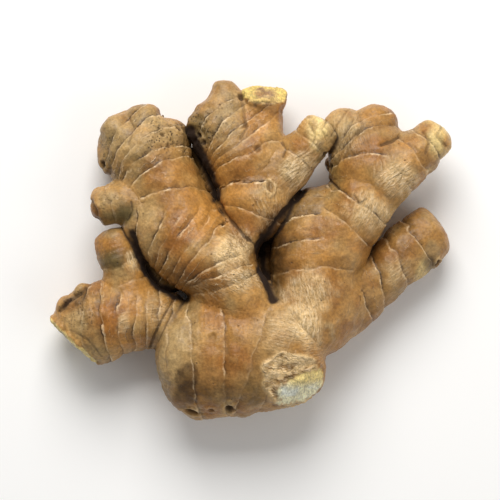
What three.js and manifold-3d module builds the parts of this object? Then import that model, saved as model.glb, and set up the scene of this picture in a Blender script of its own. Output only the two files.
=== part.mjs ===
// A fresh ginger root: one solid rhizome, lying flat, grown from lobes that run smoothly into each other.
// Millimetres, +Z up. The origin is on the surface that it rests on, at the middle of its outline.

import * as THREE from "three";
import { mergeVertices } from "three/addons/utils/BufferGeometryUtils.js";
import Module from "manifold-3d";

// Driving dimensions.
const LENGTH = 160; // along X, over the whole hand of fingers
const DEPTH = 136.5; // along Y, from the mother lobe to the tips of the fingers
const THICKNESS = 42; // along Z, over the thickest part
const GIRTH = 1; // how stout the lobes are, 1 being as drawn in LOBES
const BLEND = 6; // how far apart two lobes of one finger start to run into each other
const CREASE_BLEND = 3; // the same for two fingers, which meet in a crease
const SWELL = 0.8; // how far the skin bulges between two leaf scars
const FACET = 3.35; // the length of a facet of the skin
const BEAD_SPACING = 1.5; // between the ellipsoids that a lobe is made of
const SETTLING_PASSES = 2; // how often a point of the skin is moved closer to where it belongs
const PRESSED = 0.4; // how far the lowest bulges are pressed flat where they rest

// Each lobe follows a spine of stations: x, y, the height of its underside, its half width and its half height.
// ends: how long its two rounded ends are, as a share of the half width there. melt: how far it runs into the other
// lobes of its finger. scars: how far along the spine each leaf scar lies.
const LOBES = [
  {
    name: "mother",
    finger: "mother",
    spine: [
      [-38, -45, 4, 17, 14],
      [-29, -43.3, 0, 21.2, 18],
      [-12, -41.3, -0.4, 24.7, 20],
      [6, -40.7, 0, 23.6, 20],
      [19, -39.5, 2, 20, 17.5],
      [29, -37, 5, 14, 13],
    ],
    ends: [0.45, 0.5],
    melt: BLEND,
    scars: [7, 16.5, 30, 42, 55],
  },
  {
    name: "left_bud_stub",
    finger: "mother",
    spine: [
      [-20, -52, 12, 7, 7],
      [-19.5, -60, 10, 6.5, 6],
      [-19, -67.5, 10, 5, 5],
    ],
    ends: [0.8, 0.8],
    melt: BLEND,
    scars: [],
  },
  {
    name: "right_bud_stub",
    finger: "mother",
    spine: [
      [-5, -52, 12, 7, 7],
      [-5, -60, 10, 6.5, 6],
      [-4.5, -66, 10, 5, 5],
    ],
    ends: [0.8, 0.8],
    melt: BLEND,
    scars: [],
  },
  {
    name: "centre",
    finger: "mother",
    spine: [
      [13, -35, 6, 12, 14],
      [4, -25, 6, 10.5, 14],
      [-4, -14, 6, 10, 15.5],
      [-8, -3, 7, 9, 14.5],
    ],
    ends: [0.8, 0.8],
    melt: BLEND,
    scars: [],
  },
  {
    name: "left_trunk",
    finger: "mother",
    spine: [
      [2, -22, 7, 10, 12.5],
      [-8, -13, 5, 13.5, 16.5],
      [-17.5, -2, 2, 17.6, 19],
      [-28.8, 5.8, 2, 17.4, 18],
      [-40.8, 10.8, 4, 12.6, 14.5],
      [-51, 13.8, 8, 7.6, 9.5],
    ],
    ends: [0.8, 0.8],
    melt: BLEND,
    scars: [14, 22, 30, 38, 46, 54],
  },
  {
    name: "left_nub",
    finger: "mother",
    spine: [
      [-38, 16, 8, 8, 9],
      [-48, 18.6, 12, 8, 8.5],
      [-56.5, 19.2, 14, 8.2, 8.5],
      [-64, 16.8, 15, 6.5, 6.5],
    ],
    ends: [0.8, 0.8],
    melt: 2.5,
    scars: [],
  },
  {
    name: "left_web",
    finger: "mother",
    spine: [
      [-47, 3, 3, 4, 5],
      [-40, -8, 3, 5, 6],
      [-30, -16, 3, 6, 7],
    ],
    ends: [0.8, 0.8],
    melt: 2,
    scars: [],
  },
  {
    name: "left_head",
    finger: "mother",
    spine: [
      [-22, 5, 6, 12, 14],
      [-30, 20, 4, 13.5, 15],
      [-38, 32, 2, 15.5, 15],
      [-43, 42, 1, 17, 14],
      [-46.5, 51, 2, 13, 11],
    ],
    ends: [0.8, 0.8],
    melt: BLEND,
    scars: [22, 29, 35, 41, 47],
  },
  {
    name: "left_head_thumb",
    finger: "mother",
    spine: [
      [-42, 38, 2, 12, 12],
      [-51, 44, 0, 12, 11.5],
      [-60.5, 49, 2, 9.5, 8.5],
    ],
    ends: [0.8, 0.8],
    melt: BLEND,
    scars: [8, 14],
  },
  {
    name: "left_head_tip",
    finger: "mother",
    spine: [
      [-40, 46, 8, 7, 9],
      [-42.5, 52.5, 8, 6.8, 8],
      [-43.5, 59.5, 8, 6, 7],
    ],
    ends: [0.8, 0.6],
    melt: 3.5,
    scars: [10],
  },
  {
    name: "left_head_knob",
    finger: "mother",
    spine: [
      [-48, 43, 8, 7, 9],
      [-53.5, 48.5, 8, 7, 8.5],
      [-57.5, 53.5, 8, 5.5, 7],
    ],
    ends: [0.8, 0.8],
    melt: 1.5,
    scars: [],
  },
  {
    name: "left_head_low_knob",
    finger: "mother",
    spine: [
      [-50, 38, 6, 6, 8],
      [-56, 37, 7, 5.5, 7],
      [-61, 36, 8, 4.5, 5],
    ],
    ends: [0.8, 0.8],
    melt: 2,
    scars: [],
  },
  {
    name: "left_head_corner",
    finger: "mother",
    spine: [
      [-35, 34, 2, 9, 11],
      [-33, 44, -0.4, 8, 10],
      [-31.5, 54, 2, 6.5, 7],
    ],
    ends: [0.8, 0.7],
    melt: 3.5,
    scars: [12],
  },
  {
    name: "middle_trunk",
    finger: "middle",
    spine: [
      [-3, -5, 6, 6, 12],
      [-1, 7, 6, 8.5, 14],
      [2, 19, 4, 15, 16],
      [2.5, 32, 5, 15.5, 15],
    ],
    ends: [0.8, 0.8],
    melt: BLEND,
    scars: [14, 24, 34],
  },
  {
    name: "middle_head",
    finger: "middle",
    spine: [
      [2, 26, 5, 13.5, 14],
      [-3.5, 37, 4, 14.5, 14],
      [-8.5, 48, 3, 14.5, 13],
      [-11, 58, 4, 11, 10.5],
      [-12, 64, 6, 8, 8],
    ],
    ends: [0.8, 0.8],
    melt: BLEND,
    scars: [8, 14, 20, 27, 34],
  },
  {
    name: "middle_head_tip",
    finger: "middle",
    spine: [
      [-11, 52, 8, 7, 8],
      [-10.5, 62, 8, 6, 7],
      [-10, 69.5, 9, 4.5, 5.5],
    ],
    ends: [0.8, 0.9],
    melt: 3,
    scars: [10],
  },
  {
    name: "middle_head_knob",
    finger: "middle",
    spine: [
      [-10, 48, 10, 7, 9],
      [-15.5, 52, 10, 6, 8],
      [-20, 56.5, 10, 4.5, 6],
    ],
    ends: [0.8, 0.8],
    melt: 1.5,
    scars: [],
  },
  {
    name: "middle_head_corner",
    finger: "middle",
    spine: [
      [-13, 47, 6, 7, 9],
      [-19, 50, 8, 6, 7],
      [-25, 52, 9, 4.5, 5],
    ],
    ends: [0.8, 0.9],
    melt: BLEND,
    scars: [],
  },
  {
    name: "middle_stub",
    finger: "middle",
    spine: [
      [3, 28, 8, 10, 11],
      [5, 42, 9, 8.5, 10],
      [6, 53, 9, 7.5, 9],
      [6.5, 61, 9, 8.5, 9],
      [6.5, 70, 9, 8, 9],
    ],
    ends: [0.8, 0.6],
    melt: BLEND,
    scars: [16, 26],
  },
  {
    name: "middle_branch",
    finger: "middle",
    spine: [
      [4, 22, 8, 9, 11],
      [14, 32, 10, 9.5, 11],
      [22, 40.5, 13, 8.2, 10],
      [27, 46.5, 14, 8, 9.5],
      [31, 51.5, 15, 6.8, 8],
    ],
    ends: [0.8, 0.4],
    melt: BLEND,
    scars: [],
  },
  {
    name: "middle_web",
    finger: "middle",
    spine: [
      [-8, 14, 4, 5, 6],
      [-15.5, 27, 2, 4.5, 4.5],
      [-21, 44, 2, 4.5, 4.5],
    ],
    ends: [0.8, 0.8],
    melt: BLEND,
    scars: [],
  },
  {
    name: "right_trunk",
    finger: "right",
    spine: [
      [21, -40, 5, 12, 14],
      [26, -26, 3, 16, 16.5],
      [26.5, -9, 2, 18.5, 16.5],
      [26.5, 5, 2, 18, 15],
      [25.5, 15, 4, 14, 12],
      [24, 25.5, 7, 7.5, 8],
    ],
    ends: [0.8, 0.8],
    melt: BLEND,
    scars: [18, 28, 38, 48],
  },
  {
    name: "right_web",
    finger: "right",
    spine: [
      [10, 10, 3, 4, 5],
      [6.5, 1, 3, 4.5, 5.5],
      [6.5, -9, 3, 5, 6],
      [9, -18, 3, 5.5, 7],
    ],
    ends: [0.8, 0.8],
    melt: 2,
    scars: [],
  },
  {
    name: "right_neck",
    finger: "right",
    spine: [
      [30, -8, 4, 13, 14],
      [37, 6, 3, 13.5, 15.5],
      [44, 18, 4, 13.5, 15.5],
      [49, 30, 5, 15, 15],
    ],
    ends: [0.8, 0.8],
    melt: BLEND,
    scars: [26, 33],
  },
  {
    name: "right_head",
    finger: "right",
    spine: [
      [49, 24, 5, 13, 14],
      [48, 35, 4, 15.5, 14.5],
      [46.5, 45, 3, 14.5, 13],
      [46, 53, 4, 12, 10],
    ],
    ends: [0.8, 0.7],
    melt: BLEND,
    scars: [9, 16, 22],
  },
  {
    name: "right_head_left_tip",
    finger: "right",
    spine: [
      [45, 41, 5, 9, 10.5],
      [39, 49, 5, 8, 9.5],
      [36, 57, 5, 6.5, 7],
    ],
    ends: [0.8, 0.8],
    melt: 2.5,
    scars: [8],
  },
  {
    name: "right_head_right_tip",
    finger: "right",
    spine: [
      [49, 42, 6, 10, 11],
      [51.5, 51, 6, 9, 9.5],
      [52, 59.5, 8, 7.5, 7.5],
    ],
    ends: [0.8, 0.8],
    melt: 2.5,
    scars: [9],
  },
  {
    name: "right_head_spur",
    finger: "right",
    spine: [
      [42, 40, 6, 6, 6],
      [36.5, 36.5, 4, 4.5, 5],
      [31.5, 34.5, 3, 3.5, 4],
    ],
    ends: [0.8, 0.9],
    melt: 2.5,
    scars: [],
  },
  {
    name: "right_branch",
    finger: "right",
    spine: [
      [49, 23, 8, 11, 12],
      [59, 32, 9, 10.5, 11.5],
      [68, 39.5, 10, 9.5, 10.5],
      [73.5, 44.5, 11, 8.2, 9.5],
      [78.2, 49, 12, 7, 8],
    ],
    ends: [0.8, 0.5],
    melt: BLEND,
    scars: [],
  },
  {
    name: "far_right_finger",
    finger: "far_right",
    spine: [
      [24, -32, 2, 12, 13],
      [38, -22, 0, 12.5, 12.5],
      [50.3, -12.8, -0.4, 11.6, 12],
      [60.5, -4, -0.4, 11.2, 12],
      [68, 3.6, 0, 12.2, 11],
      [78.5, 11, 3, 9.4, 8],
    ],
    ends: [0.8, 0.5],
    melt: BLEND,
    scars: [30, 39, 47, 54],
  },
  {
    name: "left_low_finger",
    finger: "left_low",
    spine: [
      [-26, -30, 4, 11, 13],
      [-40, -26.5, 3, 13, 14],
      [-53, -27, 3, 14.5, 14.5],
      [-62, -29, 3, 16.6, 14],
      [-71, -32.5, 3, 12.3, 12],
      [-79, -38, 4, 8, 9],
    ],
    ends: [0.8, 0.6],
    melt: BLEND,
    scars: [9, 15, 21, 28, 35, 42],
  },
  {
    name: "left_low_knob",
    finger: "left_low",
    spine: [
      [-66, -25, 11, 5, 6],
      [-72, -23, 13, 4, 5.5],
      [-78, -20.5, 15, 3, 3.5],
    ],
    ends: [0.8, 0.9],
    melt: 2.5,
    scars: [],
  },
  {
    name: "left_low_bud",
    finger: "left_low",
    spine: [
      [-62, -20, 14, 4, 6],
      [-66.5, -17, 15, 3.5, 5],
      [-70.5, -14.5, 16, 2.5, 3.5],
    ],
    ends: [0.8, 0.9],
    melt: 1.5,
    scars: [],
  },
  {
    name: "left_low_nub",
    finger: "left_low",
    spine: [
      [-46, -22, 6, 9, 10],
      [-50, -10, 8, 9, 10],
      [-53.5, -1, 10, 8.8, 9.5],
      [-56, 9.5, 11, 7, 7.5],
    ],
    ends: [0.8, 0.8],
    melt: BLEND,
    scars: [12],
  },
];

// Where the root was broken or cut: a point on each flat face, the way it faces, and how far the cut reaches.
const BREAKS = [
  { name: "mother_scar", at: [22, -56.3, 28.2], facing: [0.42, -0.62, 0.66], reach: 30 },
  { name: "left_low_end", at: [-71.5, -37, 17], facing: [-0.68, -0.72, 0.02], reach: 18 },
  { name: "middle_stub_end", at: [6.5, 63, 20], facing: [0.08, 0.9, 0.42], reach: 9.5 },
];

const wasm = await Module();
wasm.setup();

const UP = new THREE.Vector3(0, 0, 1);

// A geometry as a solid that can be joined and cut.
function solidFrom(geometry) {
  const bare = geometry.clone();
  bare.deleteAttribute("normal");
  bare.deleteAttribute("uv");
  const merged = mergeVertices(bare, 1e-4);
  return new wasm.Manifold(
    new wasm.Mesh({
      numProp: 3,
      vertProperties: merged.attributes.position.array,
      triVerts: new Uint32Array(merged.index.array),
    }),
  );
}

// A solid as a geometry that three.js can show.
function geometryFrom(solid) {
  const { numProp, vertProperties, triVerts } = solid.getMesh();
  const points = [];
  for (let i = 0; i < vertProperties.length; i += numProp) {
    points.push(...vertProperties.slice(i, i + 3));
  }
  const geometry = new THREE.BufferGeometry();
  geometry.setAttribute("position", new THREE.Float32BufferAttribute(points, 3));
  geometry.setIndex([...triVerts]);
  geometry.computeVertexNormals();
  return geometry;
}

// How far the skin bulges at a place along a lobe: nowhere at a leaf scar, and most halfway between two.
function bulge(along, scars) {
  const next = scars.findIndex((scar) => along < scar);
  if (next < 1) {
    return 0;
  }
  const share = (along - scars[next - 1]) / (scars[next] - scars[next - 1]);
  return SWELL * Math.sin(Math.PI * share);
}

// A lobe as a chain of ellipsoids, or beads, along its spine.
function beadsOf({ spine, ends, scars }) {
  const centres = spine.map(([x, y, low, , halfHeight]) => new THREE.Vector3(x, y, low + halfHeight));
  const sizes = spine.map(([, , , ...halves]) => new THREE.Vector3(...halves, 0).multiplyScalar(GIRTH));
  const path = new THREE.CatmullRomCurve3(centres, false, "centripetal");
  const girth = new THREE.CatmullRomCurve3(sizes, false, "centripetal");
  const length = path.getLength();
  const from = ends[0] * sizes[0].x;
  const to = length - ends[1] * sizes.at(-1).x;
  const steps = Math.ceil((to - from) / BEAD_SPACING);
  const beads = [];
  for (let i = 0; i <= steps; i += 1) {
    const along = from + ((to - from) * i) / steps;
    const t = path.getUtoTmapping(0, along);
    const tangent = path.getTangent(t);
    const across = new THREE.Vector3().crossVectors(tangent, UP).normalize();
    const size = girth.getPoint(t);
    const swell = bulge(along, scars);
    beads.push({
      centre: path.getPoint(t),
      axes: [across, new THREE.Vector3().crossVectors(across, tangent), tangent],
      halves: [size.x + swell, size.y + swell, THREE.MathUtils.lerp(from, length - to, i / steps)],
    });
  }
  return beads;
}

// The distance from a point to the skin of a bead, less than nothing inside it.
function distanceToBead(point, { centre, axes, halves }) {
  const away = new THREE.Vector3().subVectors(point, centre);
  const reach = Math.hypot(...axes.map((axis, i) => away.dot(axis) / halves[i]));
  return reach < 0.01 ? -Math.min(...halves) : away.length() * (1 - 1 / reach);
}

// The smaller of two distances, smoothed where they are within a reach of each other.
function blended(a, b, reach) {
  const nearness = Math.max(reach - Math.abs(a - b), 0) / reach;
  return Math.min(a, b) - (nearness * nearness * reach) / 4;
}

// The distance from a point to the skin of the whole root. Far from the skin it is only known to be far.
function distanceToRoot(point, fingers) {
  const far = BLEND + FACET;
  let distance = far;
  for (const lobes of fingers) {
    let own = far;
    for (const { beads, sphere, melt } of lobes) {
      if (sphere.distanceToPoint(point) < far) {
        own = blended(own, Math.min(...beads.map((bead) => distanceToBead(point, bead))), melt);
      }
    }
    distance = blended(distance, own, CREASE_BLEND);
  }
  return distance;
}

// A grid of points around the root, each with its distance to the skin.
class DistanceGrid {
  constructor(fingers) {
    const box = new THREE.Box3();
    for (const { sphere } of fingers.flat()) {
      box.union(sphere.getBoundingBox(new THREE.Box3()));
    }
    box.expandByScalar(FACET);
    this.origin = box.min;
    this.counts = box.getSize(new THREE.Vector3()).divideScalar(FACET).ceil().addScalar(1).toArray();
    this.strides = [1, this.counts[0], this.counts[0] * this.counts[1]];
    this.distances = new Float32Array(this.counts[0] * this.counts[1] * this.counts[2]);
    for (let place = 0; place < this.distances.length; place += 1) {
      this.distances[place] = distanceToRoot(this.pointAt(place), fingers);
    }
  }

  // The whole-number coordinates of a place in the grid.
  stepsTo(place) {
    const [, row, layer] = this.strides;
    return [place % row, Math.floor((place % layer) / row), Math.floor(place / layer)];
  }

  pointAt(place) {
    return new THREE.Vector3(...this.stepsTo(place)).multiplyScalar(FACET).add(this.origin);
  }

  isInside(place) {
    return this.distances[place] < 0;
  }

  // Every place that is the low corner of a cell.
  *cells() {
    const [nx, ny, nz] = this.counts;
    for (let z = 0; z < nz - 1; z += 1) {
      for (let y = 0; y < ny - 1; y += 1) {
        for (let x = 0; x < nx - 1; x += 1) {
          yield x + y * this.strides[1] + z * this.strides[2];
        }
      }
    }
  }

  // The eight corners of a cell. Two corners share an edge when their numbers differ in one bit.
  corners(cell) {
    const [dx, dy, dz] = this.strides;
    return [0, 1, 2, 3, 4, 5, 6, 7].map(
      (corner) => cell + (corner & 1) * dx + ((corner >> 1) & 1) * dy + ((corner >> 2) & 1) * dz,
    );
  }
}

// Whether the marked corners of a cell all join up along its edges.
function joinedUp(marked) {
  const start = marked.indexOf(true);
  const seen = new Set([start]);
  for (const corner of seen) {
    for (const bit of [1, 2, 4]) {
      if (marked[corner ^ bit]) {
        seen.add(corner ^ bit);
      }
    }
  }
  return seen.size === marked.filter(Boolean).length;
}

// Fills the places where two stretches of skin would touch in a single cell, so that the skin stays one closed sheet.
function fillPinches(grid) {
  let filled = true;
  while (filled) {
    filled = false;
    for (const cell of grid.cells()) {
      const corners = grid.corners(cell);
      const inside = corners.map((corner) => grid.isInside(corner));
      if (!inside.includes(true) || !inside.includes(false)) {
        continue;
      }
      if (joinedUp(inside) && joinedUp(inside.map((is) => !is))) {
        continue;
      }
      const outside = corners.filter((corner) => !grid.isInside(corner));
      outside.sort((a, b) => grid.distances[a] - grid.distances[b]);
      grid.distances[outside[0]] = -FACET / 10;
      filled = true;
    }
  }
}

// Makes solid every space inside the root that the open air doesn't reach.
function fillCavities(grid) {
  const reached = new Uint8Array(grid.distances.length);
  const front = [0];
  reached[0] = 1;
  while (front.length) {
    const corner = front.pop();
    const beside = grid.strides.flatMap((stride) => [corner - stride, corner + stride]);
    for (const next of beside.filter((each) => each >= 0 && each < reached.length)) {
      if (!reached[next] && !grid.isInside(next)) {
        reached[next] = 1;
        front.push(next);
      }
    }
  }
  for (let corner = 0; corner < reached.length; corner += 1) {
    if (!reached[corner] && !grid.isInside(corner)) {
      grid.distances[corner] = -FACET / 10;
    }
  }
}

// The middle of the places where the skin crosses the edges of a cell, or nothing if it doesn't.
function skinPointIn(grid, cell) {
  const corners = grid.corners(cell);
  const middle = new THREE.Vector3();
  let crossings = 0;
  for (let corner = 0; corner < 8; corner += 1) {
    for (const bit of [1, 2, 4]) {
      const [a, b] = [corners[corner], corners[corner | bit]];
      if (corner & bit || grid.isInside(a) === grid.isInside(b)) {
        continue;
      }
      const share = grid.distances[a] / (grid.distances[a] - grid.distances[b]);
      middle.add(grid.pointAt(a).lerp(grid.pointAt(b), share));
      crossings += 1;
    }
  }
  return crossings ? middle.divideScalar(crossings) : null;
}

// Moves a point onto the skin, straight up or down the slope of the distance.
function settle(point, fingers) {
  for (let pass = 0; pass < SETTLING_PASSES; pass += 1) {
    const distance = distanceToRoot(point, fingers);
    const slope = new THREE.Vector3();
    for (const axis of ["x", "y", "z"]) {
      const beside = point.clone();
      beside[axis] += FACET / 20;
      slope[axis] = (distanceToRoot(beside, fingers) - distance) / (FACET / 20);
    }
    const step = THREE.MathUtils.clamp(-distance / Math.max(slope.lengthSq(), 0.25), -FACET / 4, FACET / 4);
    point.addScaledVector(slope, step);
  }
}

// The skin of the root: a point in each cell that it crosses, and a pair of facets across each edge that it crosses.
function skinGeometry(fingers) {
  const grid = new DistanceGrid(fingers);
  fillPinches(grid);
  fillCavities(grid);
  fillPinches(grid);
  const points = [];
  const pointOf = new Map();
  for (const cell of grid.cells()) {
    const point = skinPointIn(grid, cell);
    if (point) {
      pointOf.set(cell, points.length);
      points.push(point);
    }
  }
  const faces = [];
  for (const cell of grid.cells()) {
    for (let axis = 0; axis < 3; axis += 1) {
      const beyond = cell + grid.strides[axis];
      if (grid.isInside(cell) === grid.isInside(beyond)) {
        continue;
      }
      const [left, back] = [grid.strides[(axis + 1) % 3], grid.strides[(axis + 2) % 3]];
      const around = [cell, cell - left, cell - left - back, cell - back].map((each) => pointOf.get(each));
      faces.push(...facetPair(grid.isInside(cell) ? around : around.reverse(), points));
    }
  }
  const evened = evenOut(points, faces);
  evened.forEach((point) => settle(point, fingers));
  return new THREE.BufferGeometry().setFromPoints(evenOut(evened, faces)).setIndex(faces);
}

// Each point halfway to the middle of the points it shares an edge with, so that the facets are alike in size.
function evenOut(points, faces) {
  const sums = points.map(() => new THREE.Vector3());
  const counts = points.map(() => 0);
  for (let i = 0; i < faces.length; i += 1) {
    const next = i % 3 === 2 ? i - 2 : i + 1;
    sums[faces[i]].add(points[faces[next]]);
    counts[faces[i]] += 1;
  }
  return points.map((point, i) => point.clone().lerp(sums[i].divideScalar(counts[i]), 0.5));
}

// Four corners as two facets, split along the shorter way across.
function facetPair([a, b, c, d], points) {
  const short = points[a].distanceTo(points[c]) < points[b].distanceTo(points[d]);
  return short ? [a, b, c, a, c, d] : [a, b, d, b, c, d];
}

// What is left of a solid behind a cube whose near face is centred on a point.
function cutFlat(solid, at, facing, width) {
  const block = new THREE.BoxGeometry(width, width, width);
  block.translate(0, 0, width / 2);
  block.applyQuaternion(new THREE.Quaternion().setFromUnitVectors(UP, facing.normalize()));
  block.translate(at.x, at.y, at.z);
  return solid.subtract(solidFrom(block));
}

// The lobes of each finger, as beads with a sphere around them all.
function beadedFingers() {
  const fingers = new Map();
  for (const lobe of LOBES) {
    const beads = beadsOf(lobe);
    const sphere = new THREE.Sphere().setFromPoints(beads.map((bead) => bead.centre));
    sphere.radius += Math.max(...beads.flatMap((bead) => bead.halves));
    fingers.set(lobe.finger, [...(fingers.get(lobe.finger) ?? []), { beads, sphere, melt: lobe.melt }]);
  }
  return [...fingers.values()];
}

// The whole root at its full size: its skin as a solid, broken off flat in places, its lowest bulges pressed flat.
function rootGeometry() {
  let root = solidFrom(skinGeometry(beadedFingers()));
  for (const { at, facing, reach } of BREAKS) {
    root = cutFlat(root, new THREE.Vector3(...at), new THREE.Vector3(...facing), 2 * reach);
  }
  const floor = root.boundingBox().min[2] + PRESSED;
  root = cutFlat(root, new THREE.Vector3(0, 0, floor), new THREE.Vector3(0, 0, -1), 2 * LENGTH);
  const geometry = geometryFrom(root);
  geometry.computeBoundingBox();
  const size = geometry.boundingBox.getSize(new THREE.Vector3());
  const middle = geometry.boundingBox.getCenter(new THREE.Vector3());
  geometry.translate(-middle.x, -middle.y, -floor);
  geometry.scale(LENGTH / size.x, DEPTH / size.y, THICKNESS / size.z);
  return geometry;
}

const skin = new THREE.MeshStandardMaterial({ color: 0xb98f58, roughness: 0.55, metalness: 0 });
const root = new THREE.Mesh(rootGeometry(), skin);
root.name = "ginger_root";

const group = new THREE.Group();
group.add(root);

export default group;
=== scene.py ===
"""A fresh ginger root, lying flat: one rhizome whose ringed fingers grow out of a stout mother lobe.

The root is drawn in millimetres (LOBES and the lists of marks), modelled from shaped spheres that are fused
into one skin, and carved with its leaf scars, buds, pits and broken ends. It is fitted to the frame's box at
the end.
"""

import logging
import math
from dataclasses import dataclass, field
from enum import Enum

import bpy
import numpy as np
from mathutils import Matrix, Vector


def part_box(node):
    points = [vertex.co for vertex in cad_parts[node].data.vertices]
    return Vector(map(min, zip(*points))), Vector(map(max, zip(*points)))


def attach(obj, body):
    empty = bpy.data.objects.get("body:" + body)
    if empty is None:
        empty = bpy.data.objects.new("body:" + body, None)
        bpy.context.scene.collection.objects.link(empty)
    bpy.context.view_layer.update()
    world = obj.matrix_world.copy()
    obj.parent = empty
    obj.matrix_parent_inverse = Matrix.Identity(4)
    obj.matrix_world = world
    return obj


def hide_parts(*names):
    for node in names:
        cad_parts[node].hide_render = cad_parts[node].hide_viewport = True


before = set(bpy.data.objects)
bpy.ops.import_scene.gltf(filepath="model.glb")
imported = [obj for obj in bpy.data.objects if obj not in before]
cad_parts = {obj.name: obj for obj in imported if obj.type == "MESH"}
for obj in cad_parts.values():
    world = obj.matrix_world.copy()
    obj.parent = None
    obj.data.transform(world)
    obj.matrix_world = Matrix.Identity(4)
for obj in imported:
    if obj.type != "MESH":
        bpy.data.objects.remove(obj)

LOG = logging.getLogger("ginger")

NODE = "ginger_root"
MM = 0.001

Points = np.ndarray
Colour = tuple[float, float, float]


# ----------------------------------------------------------------------------------------------------
# Shapes of numbers: noise and soft steps.
# ----------------------------------------------------------------------------------------------------


def soft_step(value: np.ndarray, low: float, high: float) -> np.ndarray:
    """A smooth rise from 0 at low to 1 at high.

    Args:
        value: The numbers to grade.
        low: Where the rise starts.
        high: Where it ends; it may be less than low for a fall.

    Returns:
        The grades, from 0 to 1.
    """
    share = np.clip((value - low) / (high - low), 0.0, 1.0)
    return share * share * (3.0 - 2.0 * share)


LATTICE_PRIMES = np.array([374761393, 668265263, 2147483647])
LATTICE_SEED_PRIME = 974634777
MIXING_PRIMES = (1274126177, 2246822519)
WORD_MASK = 0xFFFFFFFF


def lattice(cells: np.ndarray, seed: int) -> np.ndarray:
    """A number from -1 to 1 for each whole-number cell, the same on every run.

    Args:
        cells: Whole-number coordinates, one row for each cell.
        seed: Picks one pattern out of many.

    Returns:
        One number for each row.
    """
    mixed = (cells @ LATTICE_PRIMES + seed * LATTICE_SEED_PRIME) & WORD_MASK
    mixed = ((mixed ^ (mixed >> 13)) * MIXING_PRIMES[0]) & WORD_MASK
    mixed = ((mixed ^ (mixed >> 16)) * MIXING_PRIMES[1]) & WORD_MASK
    return ((mixed ^ (mixed >> 15)) & 0xFFFFFF) / float(0x7FFFFF) - 1.0


def noise(points: Points, size: float, seed: int, octaves: int = 1) -> np.ndarray:
    """Smooth random lumps over space.

    Args:
        points: Where to read the lumps, one row for each point.
        size: How wide a lump is, in the units of the points.
        seed: Picks one pattern out of many.
        octaves: How many layers are added, each half as wide and half as strong as the last.

    Returns:
        One number for each point, mostly from -1 to 1.
    """
    total = np.zeros(len(points))
    strength = 1.0
    for octave in range(octaves):
        scaled = points * (2.0**octave / size) + 17.3 * (octave + seed)
        base = np.floor(scaled).astype(np.int64)
        part = scaled - base
        part = part * part * part * (part * (part * 6.0 - 15.0) + 10.0)
        value = np.zeros(len(points))
        for corner in range(8):
            step = np.array([corner & 1, corner >> 1 & 1, corner >> 2 & 1])
            share = np.prod(np.where(step, part, 1.0 - part), axis=1)
            value += share * lattice(base + step, seed + octave)
        total += strength * value
        strength *= 0.5
    return total


# ----------------------------------------------------------------------------------------------------
# The root as it is drawn, in millimetres: +X across the hand, +Y towards the fingertips, +Z up.
# ----------------------------------------------------------------------------------------------------


@dataclass(frozen=True)
class Ring:
    """A leaf scar that goes round a lobe.

    Attributes:
        at: How far along the lobe's spine it lies.
        tilt: How far it is turned from square to the spine, in degrees.
        bow: How far its middle reaches ahead of its sides.
        strength: How high its edge stands, 1 being usual.
    """

    at: float
    tilt: float = 0.0
    bow: float = 1.0
    strength: float = 1.0


@dataclass(frozen=True)
class Cut:
    """A flat break.

    Attributes:
        at: A point on it.
        facing: The way it faces.
        torn_at: The middle of the torn skin round it, seen from above.
        torn: How far from there the skin is torn; 0 if it is cut clean.
        flesh: The colour of its flesh.
        cool: The colour of that flesh where it has dried.
        warm: The colour of that flesh beside the skin.
        warm_from: Between which distances towards the fingertips the warm colour comes in.
    """

    at: tuple[float, float, float]
    facing: tuple[float, float, float]
    torn_at: tuple[float, float] = (0.0, 0.0)
    torn: float = 0.0
    flesh: Colour = (0.98, 0.91, 0.60)
    cool: Colour = (0.84, 0.85, 0.72)
    warm: Colour = (0.93, 0.72, 0.28)
    warm_from: tuple[float, float] = (-99.0, -98.0)

    def normal(self) -> np.ndarray:
        """The unit vector that the break faces along."""
        facing = np.array(self.facing)
        return facing / np.linalg.norm(facing)

    def beyond(self, points: Points) -> np.ndarray:
        """How far each point is outside the break."""
        return (points - np.array(self.at)) @ self.normal()


@dataclass(frozen=True)
class Lobe:
    """A stretch of the root, round about a spine.

    Attributes:
        name: What it is called.
        finger: The finger it is part of; lobes of one finger run smoothly into each other.
        spine: Stations: x, y, the height of the underside, the half width and the half height.
        ends: How long its two rounded ends are, as a share of the half width there.
        cut: Where it is broken off, if it is.
        melt: How far it runs into the other lobes of its finger.
    """

    name: str
    finger: str
    spine: tuple[tuple[float, float, float, float, float], ...]
    ends: tuple[float, float] = (0.8, 0.8)
    cut: Cut | None = None
    melt: float = 6.0


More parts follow.
